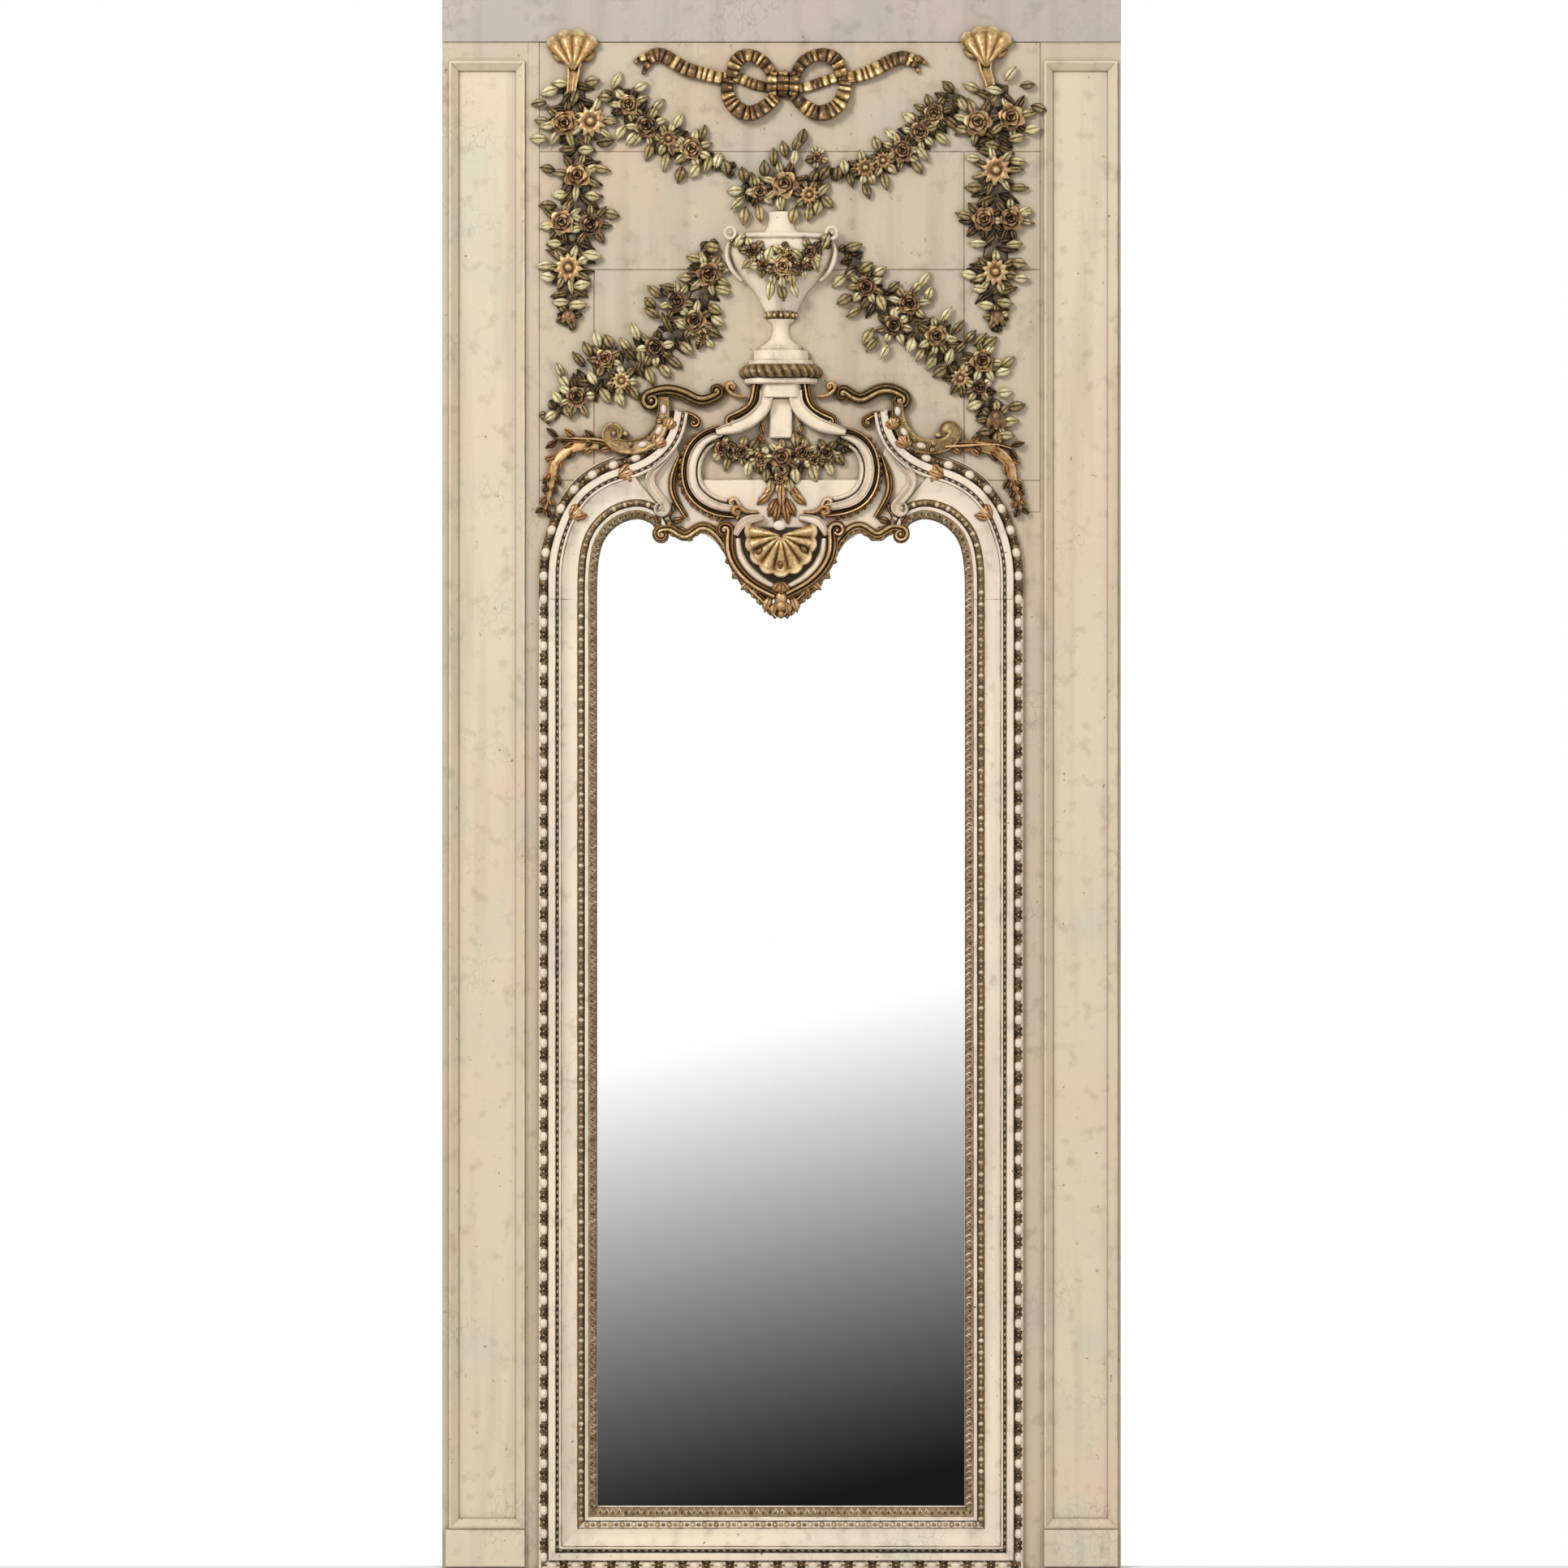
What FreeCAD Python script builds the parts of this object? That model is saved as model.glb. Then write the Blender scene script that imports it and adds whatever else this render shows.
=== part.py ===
import FreeCAD, Part
import math
import os
import Sketcher
from FreeCAD import Placement, Rotation, Vector

# A painted and parcel-gilt trumeau mirror: a tall boarded panel with two sunk pilasters, a moulded
# frame round an arched plate, and a carved crown with an urn, garlands and a ribbon bow.
# Frame: +Z up, front faces -Y, X centred, wall plane at Y = 0, origin at the foot of the back.
# Depths are measured forward from the wall; rises are measured forward from the field boards.

DOC = FreeCAD.newDocument("TrumeauMirror")

# limits of the geometry, not sizes of the object
FLATNESS = 1e-9   # share by which four corners may leave one plane
TOUCHING = 0.01   # overlap of two boxes, in millimetres, that counts as contact

# ---------------------------------------------------------------- driving sizes, millimetres
SIZES = (
    ("frame_width", 856, "moulded frame over its outer edges"),
    ("left_stile_width", 152, "left pilaster board"),
    ("right_stile_width", 142, "right pilaster board"),
    ("left_outer_flat", 12, "flat outside the left pilaster panel"),
    ("right_outer_flat", 6, "flat outside the right pilaster panel"),
    ("inner_flat", 6, "flat between a pilaster panel and the liner"),
    ("left_liner_width", 19, "strip between left stile and frame"),
    ("right_liner_width", 31, "strip between right stile and frame"),
    ("spring_height", 1716, "foot to the butt joint of jambs and arched head"),
    ("crown_height", 986, "butt joint to the underside of the frieze"),
    ("frieze_height", 74, "top board"),
    ("upper_seam", 792, "butt joint to the joint of the upper field boards"),
    ("middle_seam", 583, "butt joint to the joint of the lower field boards"),
    ("plate_rise", 154, "butt joint to the lower edge of the field boards"),
    ("window_foot", 73, "foot to the sunk pilaster panel"),
    ("window_gap", 34, "sunk pilaster panel to the frieze"),
    ("plinth_height", 65, "pilaster plinth block"),
    ("plinth_foot", 7, "foot to the plinth block"),
    ("plinth_inset", 6, "plinth block inside the stile on each side"),
    ("plinth_proud", 12, "plinth block in front of the stile"),
    ("ledge_thickness", 20, "back ledge, wall to the back of the boards"),
    ("ledge_height", 90, "back ledge"),
    ("ledge_inset", 40, "back ledge short of the outer edge"),
    ("board_thickness", 25, "stiles, liners and field boards"),
    ("panel_thickness", 13, "sunk pilaster panel"),
    ("panel_moulding_width", 16, "moulding round a pilaster panel"),
    ("panel_moulding_proud", 6, "that moulding in front of the stile"),
    ("frieze_proud", 3, "frieze in front of the field"),
    ("head_board_thickness", 8, "shaped board that carries the arched mouldings"),
    ("glass_thickness", 5, "mirror plate"),
    ("backboard_thickness", 6, "board behind the plate"),
    ("batten_thickness", 12, "battens that hold plate and backboard"),
    ("batten_width", 15, "battens that hold plate and backboard"),
    ("plate_lap", 12, "plate behind the sight edge"),
    ("plate_clearance", 1, "plate to the rebate"),
    ("sill_face", 112, "face of the bottom rail of the frame"),
    ("bead_course", 17.5, "outer course of large beads"),
    ("flat_fillet", 12.5, "cream fillet"),
    ("groove_width", 6, "notched groove"),
    ("fine_bead", 5, "fine cream bead"),
    ("cove_width", 27.5, "wide cove"),
    ("pearl_course", 13, "course of spindles and pearls"),
    ("light_fillet", 6.5, "inner cream fillet"),
    ("sight_ovolo", 15, "gilt leaf course at the sight edge"),
    ("bead_seat", 10, "rise of the bed of the large beads"),
    ("fillet_rise", 20, "rise of the cream fillet"),
    ("groove_rise", 13, "rise of the groove"),
    ("fine_bead_rise", 21, "rise of the fine bead's bed"),
    ("cove_high", 23, "rise of the cove's outer edge"),
    ("cove_low", 13, "rise of the cove's inner edge"),
    ("pearl_seat", 12, "rise of the bed of the pearls"),
    ("light_fillet_rise", 16, "rise of the inner fillet"),
    ("ovolo_high", 15, "rise of the gilt course's outer edge"),
    ("sight_lip", 7, "rise of the sight edge"),
    ("swelling", 0.6, "radius of a bead, as a share of its course"),
    ("hollow", 0.85, "radius of the cove, as a share of its course"),
    ("ovolo_share", 1.1, "radius of the gilt course, as a share of it"),
    ("hanger_spacing", 800, "between the two wall hangers"),
    ("hanger_drop", 40, "hangers under the top edge of the top ledge"),
    ("hanger_width", 36, "steel hanger plate"),
    ("hanger_height", 60, "steel hanger plate"),
    ("hanger_thickness", 3, "steel hanger plate, flush in the top ledge"),
    ("hanger_bore", 8, "hole in the hanger plate"),
    ("hook_pocket", 18, "square mortise behind the plate for the head of the wall hook"),
    ("hook_pocket_depth", 12, "depth of that mortise"),
    ("bloom_radius", 27, "ordinary flower"),
    ("bloom_rise", 28, "ordinary flower"),
    ("leaf_reach", 19, "leaf beyond the middle of its blade"),
    ("leaf_width", 31, "leaf blade"),
    ("leaf_rise", 18, "leaf at its rib"),
    ("core_width", 38, "bed that a garland is carved on"),
    ("core_rise", 12, "bed that a garland is carved on"),
    ("carving_edge", 4, "least thickness of a carving at its edge"),
    ("ribbon_width", 21, "ribbon of the bow"),
    ("ribbon_rise", 15, "ribbon of the bow"),
    ("knot_radius", 24, "knot of the bow"),
    ("scroll_width", 21, "gilt S-scrolls"),
    ("scroll_rise", 22, "gilt S-scrolls"),
    ("reeded_width", 38, "large reeded C-scrolls"),
    ("reeded_rise", 24, "large reeded C-scrolls"),
    ("leg_width", 24, "cream legs under the urn"),
    ("leg_rise", 26, "cream legs under the urn"),
    ("edging_width", 19, "gilt leafy edging of the crest"),
    ("edging_rise", 18, "gilt leafy edging of the crest"),
    ("niche_rise", 10, "cream panel between the legs"),
    ("drawn_width", 856, "frame width that the carvings are drawn for"),
    ("drawn_height", 986, "crown height that the carvings are drawn for"),
    ("urn_half_width", 94, "urn at its shoulder, from its axis"),
    ("urn_depth", 50, "urn at its shoulder, in front of the field"),
    ("plinth_half_width", 75, "widest step under the urn, from its axis"),
    ("plinth_step_depth", 46, "widest step under the urn, in front of the field"),
    ("pedestal_rise", 34, "pedestal block under the urn"),
    ("scallop_radius", 88, "cartouche shell, hinge to lip"),
    ("scallop_rise", 40, "cartouche shell"),
    ("pilaster_shell_radius", 66, "shell on a pilaster head, hinge to lip"),
    ("pilaster_shell_rise", 26, "shell on a pilaster head"),
)

# values that follow from the sizes above
DERIVED = (
    ("overall_width", "left_stile_width + left_liner_width + frame_width + right_liner_width"
                      " + right_stile_width"),
    ("overall_height", "spring_height + crown_height + frieze_height"),
    ("field_top", "spring_height + crown_height"),
    ("field_front", "ledge_thickness + board_thickness"),
    ("left_edge", "-overall_width / 2"),
    ("right_edge", "overall_width / 2"),
    ("left_stile_inner", "left_edge + left_stile_width"),
    ("right_stile_inner", "right_edge - right_stile_width"),
    ("frame_left", "left_stile_inner + left_liner_width"),
    ("frame_right", "frame_left + frame_width"),
    ("frame_axis", "frame_left + frame_width / 2"),
    ("across_unit", "frame_width / 200"),
    ("up_unit", "crown_height / 100"),
    ("drawn_across", "drawn_width / 200"),
    ("drawn_up", "drawn_height / 100"),
    ("carving_scale", "min(frame_width / drawn_width; crown_height / drawn_height)"),
    ("boards_foot", "spring_height + plate_rise"),
    ("upper_joint", "spring_height + upper_seam"),
    ("middle_joint", "spring_height + middle_seam"),
    ("window_head", "field_top - window_gap"),
    ("left_window_left", "left_edge + left_outer_flat"),
    ("left_window_right", "left_stile_inner - inner_flat"),
    ("right_window_left", "right_stile_inner + inner_flat"),
    ("right_window_right", "right_edge - right_outer_flat"),
    ("panel_front", "ledge_thickness + panel_thickness"),
    ("panel_moulding_front", "field_front + panel_moulding_proud"),
    ("plinth_front", "field_front + plinth_proud"),
    ("plinth_head", "plinth_foot + plinth_height"),
    ("frieze_front", "field_front + frieze_proud"),
    ("fillet_start", "bead_course"),
    ("groove_start", "fillet_start + flat_fillet"),
    ("fine_start", "groove_start + groove_width"),
    ("cove_start", "fine_start + fine_bead"),
    ("pearl_start", "cove_start + cove_width"),
    ("light_start", "pearl_start + pearl_course"),
    ("ovolo_start", "light_start + light_fillet"),
    ("jamb_face", "ovolo_start + sight_ovolo"),
    ("rebate_edge", "jamb_face - plate_lap - plate_clearance"),
    ("sill_share", "sill_face / jamb_face"),
    ("sill_rebate_edge", "sill_face - plate_lap - plate_clearance"),
    ("plate_left", "frame_left + jamb_face - plate_lap"),
    ("plate_right", "frame_right - jamb_face + plate_lap"),
    ("plate_foot", "sill_face - plate_lap"),
    ("plate_head", "boards_foot - plate_clearance"),
    ("backboard_front", "field_front - glass_thickness"),
    ("batten_front", "backboard_front - backboard_thickness"),
    ("batten_back", "batten_front - batten_thickness"),
    ("left_rebate", "frame_left + rebate_edge"),
    ("right_rebate", "frame_right - rebate_edge"),
    ("ledge_left", "left_edge + ledge_inset"),
    ("ledge_right", "right_edge - ledge_inset"),
    ("top_ledge_foot", "field_top - ledge_height / 2"),
    ("top_ledge_head", "top_ledge_foot + ledge_height"),
    ("hanger_level", "top_ledge_head - hanger_drop"),
    ("head_front", "field_front + head_board_thickness"),
    ("jamb_shoulder", "spring_height - sill_face"),
    ("sill_shoulder", "frame_width - jamb_face"),
)

# the edges of the frame's courses on the jambs, and the depths and arcs of those courses
COURSE_EDGES = ("fillet_start", "groove_start", "fine_start", "cove_start", "pearl_start",
                "light_start", "ovolo_start", "jamb_face")
RISES = ("bead_seat", "fillet_rise", "groove_rise", "fine_bead_rise", "cove_high", "cove_low",
         "pearl_seat", "light_fillet_rise", "ovolo_high", "sight_lip")
ROUNDS = (("bead_round", "bead_course", "swelling"), ("fine_round", "fine_bead", "swelling"),
          ("pearl_round", "pearl_course", "swelling"), ("cove_round", "cove_width", "hollow"),
          ("ovolo_round", "sight_ovolo", "ovolo_share"))
DERIVED += tuple(("sill_" + edge, f"{edge} * sill_share") for edge in COURSE_EDGES)
DERIVED += tuple((rise + "_depth", f"field_front + {rise}") for rise in RISES)
DERIVED += tuple((arc, f"{course} * {share}") for arc, course, share in ROUNDS)
DERIVED += tuple(("sill_" + arc, f"{arc} * sill_share") for arc, _, _ in ROUNDS)


def make_sheet():
    """Writes the sizes and what follows from them, and gives each cell its alias."""
    sheet = DOC.addObject("Spreadsheet::Sheet", "Sizes")
    for row, (alias, value, meaning) in enumerate(SIZES, 1):
        sheet.set(f"A{row}", meaning)
        sheet.set(f"B{row}", str(value))
        sheet.setAlias(f"B{row}", alias)
    for row, (alias, formula) in enumerate(DERIVED, len(SIZES) + 1):
        sheet.set(f"A{row}", "follows from the sizes above")
        sheet.set(f"B{row}", "=" + formula)
        sheet.setAlias(f"B{row}", alias)
        DOC.recompute()
    return sheet


SHEET = make_sheet()
ALIASES = {row[0] for row in SIZES + DERIVED}


def size(alias):
    """One value of the sheet, for carvings whose shape is worked out in this file."""
    return float(getattr(SHEET, alias))


def bind(target, **expressions):
    """Binds properties to the sheet; x, y and z stand for the placement's base."""
    for prop, text in expressions.items():
        path = "Placement.Base." + prop if prop in ("x", "y", "z") else prop
        words = ["Sizes." + word if word in ALIASES else word for word in text.split()]
        target.setExpression(path, " ".join(words))


def sub_part(name, shape):
    """A carving as a document object of its own."""
    feature = DOC.addObject("Part::Feature", name)
    feature.Shape = shape
    feature.Placement = Placement()
    return feature


# ---------------------------------------------------------------- boards
def board(name, left, right, back, front, foot, head):
    """A squared board between two values on each axis; back and front are depths from the wall."""
    box = DOC.addObject("Part::Box", name)
    bind(
        box,
        Length=f"{right} - ( {left} )",
        Width=f"{front} - ( {back} )",
        Height=f"{head} - ( {foot} )",
        x=left,
        y=f"-1 * ( {front} )",
        z=foot,
    )
    return box


def cut_from(name, base, tool):
    """The base piece less the tool piece, as a sub-part of its own."""
    cut = DOC.addObject("Part::Cut", name)
    cut.Base = base
    cut.Tool = tool
    return cut


def stile(name, left, right, window):
    """A pilaster board with the window for its sunk panel."""
    solid = board(name + "_board", left, right, "ledge_thickness", "field_front", "0", "field_top")
    hole = board(name + "_window", *window, "ledge_thickness", "field_front", "window_foot",
                 "window_head")
    return cut_from(name, solid, hole)


def panel_moulding(name, window):
    """A mitred moulding round the inside of a window, over the edge of the sunk panel."""
    low, high = size(window[0]), size(window[1])
    foot, head = size("window_foot"), size("window_head")
    wide, floor, crest = (size("panel_moulding_width"), size("panel_front"),
                          size("panel_moulding_front"))
    drop = crest - floor
    profile = [(0, floor), (0, crest), (wide / 4, crest), (wide / 2, crest - drop / 4),
               (wide * 3 / 4, crest - drop / 2), (wide, floor + drop / 4), (wide, floor)]
    rings = []
    for x_edge, x_way, z_edge, z_way in ((low, 1, foot, 1), (high, -1, foot, 1),
                                         (high, -1, head, -1), (low, 1, head, -1)):
        rings.append([Vector(x_edge + x_way * inset, -depth, z_edge + z_way * inset)
                      for inset, depth in profile])
    return sub_part(name, skin(rings, looped=True))


def pilaster(side, left, right, window):
    """Stile, sunk panel, its moulding and the plinth block of one side."""
    stile(side + "_stile", left, right, window)
    board(side + "_pilaster_panel", *window, "ledge_thickness", "panel_front", "window_foot",
          "window_head")
    panel_moulding(side + "_panel_moulding", window)
    board(side + "_plinth_block", left + " + plinth_inset", right + " - plinth_inset",
          "field_front", "plinth_front", "plinth_foot", "plinth_head")


def carcass():
    """Pilasters, liners, field boards, frieze, back ledges and the blocks beside the arch."""
    pilaster("left", "left_edge", "left_stile_inner", ("left_window_left", "left_window_right"))
    pilaster("right", "right_stile_inner", "right_edge", ("right_window_left", "right_window_right"))
    depth = ("ledge_thickness", "field_front")
    board("left_liner", "left_stile_inner", "frame_left", *depth, "0", "field_top")
    board("right_liner", "frame_right", "right_stile_inner", *depth, "0", "boards_foot")
    seams = ("boards_foot", "middle_joint", "upper_joint", "field_top")
    for name, foot, head in zip(("lower", "middle", "upper"), seams, seams[1:]):
        board(name + "_field_board", "frame_left", "right_stile_inner", *depth, foot, head)
    board("frieze_board", "left_edge", "right_edge", "ledge_thickness", "frieze_front", "field_top",
          "overall_height")
    board("left_shoulder_block", "frame_left", "left_rebate", *depth, "spring_height", "boards_foot")
    board("right_shoulder_block", "right_rebate", "frame_right", *depth, "spring_height",
          "boards_foot")
    behind = ("ledge_left", "ledge_right", "0", "ledge_thickness")
    board("foot_ledge", *behind, "0", "ledge_height")
    board("middle_ledge", *behind, "boards_foot - ledge_height / 2", "boards_foot + ledge_height / 2")


# ---------------------------------------------------------------- top ledge and wall hangers
def cylinder(name, radius, x, length, z):
    """A bore that runs forward from the wall plane."""
    bore = DOC.addObject("Part::Cylinder", name)
    bore.Placement = Placement(Vector(), Rotation(Vector(1, 0, 0), 90))
    bind(bore, Radius=radius, Height=length, x=x, z=z)
    return bore


def wall_hangers():
    """The top ledge with a flush steel plate and a hook pocket at each end of the hanger line."""
    carrier = board("top_ledge_board", "ledge_left", "ledge_right", "0", "ledge_thickness",
                    "top_ledge_foot", "top_ledge_head")
    low, high = "hanger_level - hanger_height / 2", "hanger_level + hanger_height / 2"
    for side, way in (("left", "-1"), ("right", "1")):
        centre = f"{way} * hanger_spacing / 2"
        span = (centre + " - hanger_width / 2", centre + " + hanger_width / 2", "0",
                "hanger_thickness", low, high)
        carrier = cut_from(side + "_plate_housing", carrier, board(side + "_housing_tool", *span))
        pocket = board(side + "_pocket_tool", centre + " - hook_pocket / 2",
                       centre + " + hook_pocket / 2", "hanger_thickness",
                       "hanger_thickness + hook_pocket_depth", "hanger_level - hook_pocket / 2",
                       "hanger_level + hook_pocket / 2")
        carrier = cut_from(side + "_hook_pocket", carrier, pocket)
        bore = cylinder(side + "_bore_tool", "hanger_bore / 2", centre, "hanger_thickness",
                        "hanger_level")
        cut_from(side + "_wall_hanger", board(side + "_hanger_blank", *span), bore)
    carrier.Label = "top_ledge"


# ---------------------------------------------------------------- moulded frame
def frame_section(prefix, rebate):
    """Section of a frame rail from its outer edge inwards: (across, depth, arc, way).

    The arc, where one is named, leads to its point: way 1 swells forward and way -1 is hollow.
    """
    fillet, groove, fine, cove, pearl, light, ovolo, face = (prefix + edge for edge in COURSE_EDGES)
    bead_arc, fine_arc, pearl_arc, cove_arc, ovolo_arc = (prefix + arc for arc, _, _ in ROUNDS)
    return (
        ("0", "ledge_thickness", None, 0),
        ("0", "bead_seat_depth", None, 0),
        (fillet, "bead_seat_depth", bead_arc, 1),
        (fillet, "fillet_rise_depth", None, 0),
        (groove, "fillet_rise_depth", None, 0),
        (groove, "groove_rise_depth", None, 0),
        (fine, "groove_rise_depth", None, 0),
        (fine, "fine_bead_rise_depth", None, 0),
        (cove, "fine_bead_rise_depth", fine_arc, 1),
        (cove, "cove_high_depth", None, 0),
        (pearl, "cove_low_depth", cove_arc, -1),
        (pearl, "pearl_seat_depth", None, 0),
        (light, "pearl_seat_depth", pearl_arc, 1),
        (light, "light_fillet_rise_depth", None, 0),
        (ovolo, "light_fillet_rise_depth", None, 0),
        (ovolo, "ovolo_high_depth", None, 0),
        (face, "sight_lip_depth", ovolo_arc, 1),
        (face, "field_front", None, 0),
        (rebate, "field_front", None, 0),
        (rebate, "ledge_thickness", None, 0),
    )


def add_edge(sketch, start, end, radius, way):
    """One edge of an outline; gives the edge and which of its vertices come first and last."""
    if not radius:
        return sketch.addGeometry(Part.LineSegment(start, end)), 1, 2
    chord = end - start
    sagitta = radius - math.sqrt(radius ** 2 - (chord.Length / 2) ** 2)
    bulge = Vector(-chord.y, chord.x, 0).normalize() * sagitta * way
    edge = sketch.addGeometry(Part.Arc(start, (start + end) / 2 + bulge, end))
    turned = (sketch.getPoint(edge, 1) - start).Length > (sketch.getPoint(edge, 2) - start).Length
    return (edge, 2, 1) if turned else (edge, 1, 2)


def add_sketch(body, plane, points):
    """A closed outline on one of a body's own planes, every corner and arc bound to the sheet."""
    sketch = body.newObject("Sketcher::SketchObject", body.Name + "_" + plane)
    base = next(part for part in body.Origin.OriginFeatures if part.Role == plane)
    sketch.AttachmentSupport = [(base, "")]
    sketch.MapMode = "FlatFace"
    corners = [Vector(*(0 if word == "0" else size(word) for word in point[:2]), 0)
               for point in points]
    edges = [add_edge(sketch, corners[index - 1], corners[index], size(arc) if arc else 0, way)
             for index, (_, _, arc, way) in enumerate(points)]
    for index, (across, depth, arc, _) in enumerate(points):
        edge, _, last = edges[index]
        follower, first, _ = edges[(index + 1) % len(points)]
        sketch.addConstraint(Sketcher.Constraint("Coincident", edge, last, follower, first))
        for kind, axis, word in (("DistanceX", -2, across), ("DistanceY", -1, depth)):
            if word == "0":
                sketch.addConstraint(Sketcher.Constraint("PointOnObject", edge, last, axis))
            else:
                bind_constraint(sketch, word, kind, -1, 1, edge, last)
        if arc:
            bind_constraint(sketch, arc, "Radius", edge)
    return sketch


def bind_constraint(sketch, word, kind, *places):
    """A dimension of a sketch that follows one value of the sheet."""
    number = sketch.addConstraint(Sketcher.Constraint(kind, *places, size(word)))
    bind(sketch, **{f"Constraints[{number}]": word})


def rail(name, section, length, placement, **base):
    """A length of the frame's moulding, as a body with its section padded along the rail."""
    body = DOC.addObject("PartDesign::Body", name)
    body.Placement = placement
    bind(body, **base)
    pad = body.newObject("PartDesign::Pad", name + "_length")
    pad.Profile = add_sketch(body, "XY_Plane", section)
    bind(pad, Length=length)
    DOC.recompute()
    return body


def mitre(body, corners):
    """Cuts a rail's end to the mitre, through its whole depth."""
    pocket = body.newObject("PartDesign::Pocket", f"{body.Name}_mitre_{len(body.Group)}")
    pocket.Profile = add_sketch(body, "XZ_Plane", [corner + (None, 0) for corner in corners])
    pocket.Type = "ThroughAll"
    pocket.Midplane = True
    DOC.recompute()


def frame():
    """Two jambs and a mitred bottom rail, cut to one section."""
    jamb = frame_section("", "rebate_edge")
    turned_down = Placement(Vector(), Rotation(Vector(1, 0, 0), 180))
    turned_round = Placement(Vector(), Rotation(Vector(0, 0, 1), 180))
    along_the_foot = Placement(Vector(), Rotation(Vector(0, 0, 1), Vector(0, -1, 0),
                                                  Vector(1, 0, 0), "XYZ"))
    left = rail("left_jamb", jamb, "spring_height", turned_down, x="frame_left", z="spring_height")
    mitre(left, [("0", "spring_height"), ("jamb_face", "jamb_shoulder"),
                 ("jamb_face", "spring_height")])
    right = rail("right_jamb", jamb, "spring_height", turned_round, x="frame_right")
    mitre(right, [("0", "0"), ("jamb_face", "sill_face"), ("jamb_face", "0")])
    sill = rail("sill", frame_section("sill_", "sill_rebate_edge"), "frame_width", along_the_foot,
                x="frame_left")
    mitre(sill, [("0", "0"), ("sill_face", "0"), ("sill_face", "jamb_face")])
    mitre(sill, [("0", "frame_width"), ("sill_face", "sill_shoulder"), ("sill_face", "frame_width")])


# ---------------------------------------------------------------- plate and what holds it
def plate():
    """Mirror plate, backboard and the four battens that hold them in the rebate."""
    outline = ("plate_left", "plate_right")
    board("mirror_glass", *outline, "backboard_front", "field_front", "plate_foot", "plate_head")
    board("backboard", *outline, "batten_front", "backboard_front", "plate_foot", "plate_head")
    depth = ("batten_back", "batten_front")
    board("left_batten", "left_rebate", "left_rebate + batten_width", *depth, "sill_rebate_edge",
          "boards_foot")
    board("right_batten", "right_rebate - batten_width", "right_rebate", *depth, "sill_rebate_edge",
          "boards_foot")
    between = ("left_rebate + batten_width", "right_rebate - batten_width", *depth)
    board("foot_batten", *between, "sill_rebate_edge", "sill_rebate_edge + batten_width")
    board("head_batten", *between, "boards_foot - batten_width", "boards_foot")


# ---------------------------------------------------------------- carving: solids from sections
def flat_faces(corners):
    """One face where the corners lie in a plane, and two triangles where they don't."""
    first, second, third, fourth = corners
    normal = (second - first).cross(third - first)
    reach = normal.Length * (fourth - first).Length
    if reach and abs(normal.dot(fourth - first)) < FLATNESS * reach:
        return [Part.Face(Part.makePolygon([first, second, third, fourth, first]))]
    return [Part.Face(Part.makePolygon(three + three[:1]))
            for three in ([first, second, third], [first, third, fourth])]


def closed_solid(faces):
    """A solid from faces that share their edges."""
    shell = Part.makeShell(faces)
    solid = Part.makeSolid(shell)
    if solid.Volume < 0:
        solid.reverse()
    return solid


def skin(rings, looped=False, peak=None):
    """A solid through sections of equal corner count; it can close on itself or on a peak."""
    faces = []
    follow = rings[1:] + rings[:1] if looped else rings[1:]
    for ring, after in zip(rings, follow):
        for index in range(len(ring)):
            faces += flat_faces([ring[index - 1], ring[index], after[index], after[index - 1]])
    if not looped:
        faces.append(Part.Face(Part.makePolygon(rings[0] + rings[0][:1])))
    if peak is not None:
        last = rings[-1]
        faces += [Part.Face(Part.makePolygon([last[index - 1], last[index], peak, last[index - 1]]))
                  for index in range(len(last))]
    elif not looped:
        faces.append(Part.Face(Part.makePolygon(rings[-1] + rings[-1][:1])))
    return closed_solid(faces)


def on_frame(across, up):
    """X and Z of a point in percent of half the frame's width and of the crown's height."""
    return (size("frame_axis") + across * size("across_unit"),
            size("spring_height") + up * size("up_unit"))


def spot(across, up):
    """The same point on a carver's drawing, from the frame's axis and the butt joint."""
    return across * size("drawn_across"), up * size("drawn_up")


def spots(*points, place=spot):
    return [place(across, up) for across, up in points]


def raised(point, rise):
    """A point of a drawing or of the frame, lifted in front of the field boards."""
    return Vector(point[0], -rise, point[1])


def toward(point, angle, reach):
    return point[0] + math.cos(angle) * reach, point[1] + math.sin(angle) * reach


def smooth(route, pieces):
    """A fair curve through a route's points, as evenly spaced points."""
    curve = Part.BSplineCurve()
    curve.interpolate([Vector(x, 0, z) for x, z in route])
    return [(point.x, point.z) for point in curve.discretize(pieces + 1)]


def sides(line):
    """The unit vector to the left of the way along a line, at each of its points."""
    found = []
    for index in range(len(line)):
        ahead, behind = line[min(index + 1, len(line) - 1)], line[max(index - 1, 0)]
        run = math.dist(ahead, behind)
        found.append(((behind[1] - ahead[1]) / run, (ahead[0] - behind[0]) / run))
    return found


def moulded(line, section):
    """A section in (to the left, rise) millimetres, carried along a line."""
    rings = []
    for point, side in zip(line, sides(line)):
        rings.append([raised((point[0] + side[0] * across, point[1] + side[1] * across), rise)
                      for across, rise in section])
    return skin(rings)


FULL_BLOOM = 0.95   # flowers over this share of the ordinary size have five petals, others four
SUNK_FOOT = 0.8     # where a carving stands over the bowl, the share of the bowl its foot starts at

# sections of carved bands: (share of half the width to the left, share of the rise)
ROOF = ((-1, 0), (-1, 0.3), (-0.35, 1), (0.35, 1), (1, 0.3), (1, 0))
BLADE = ((-1, 0), (0, 1), (1, 0))
REEDED = ((-1, 0), (-1, 0.6), (-0.6, 1), (-0.25, 0.6), (0.1, 0.85), (0.4, 0.5), (0.7, 0.75),
          (1, 0.4), (1, 0))
BED = ((-1, 0), (-0.6, 1), (0.6, 1), (1, 0))


def no_lift(point):
    return 0


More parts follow.
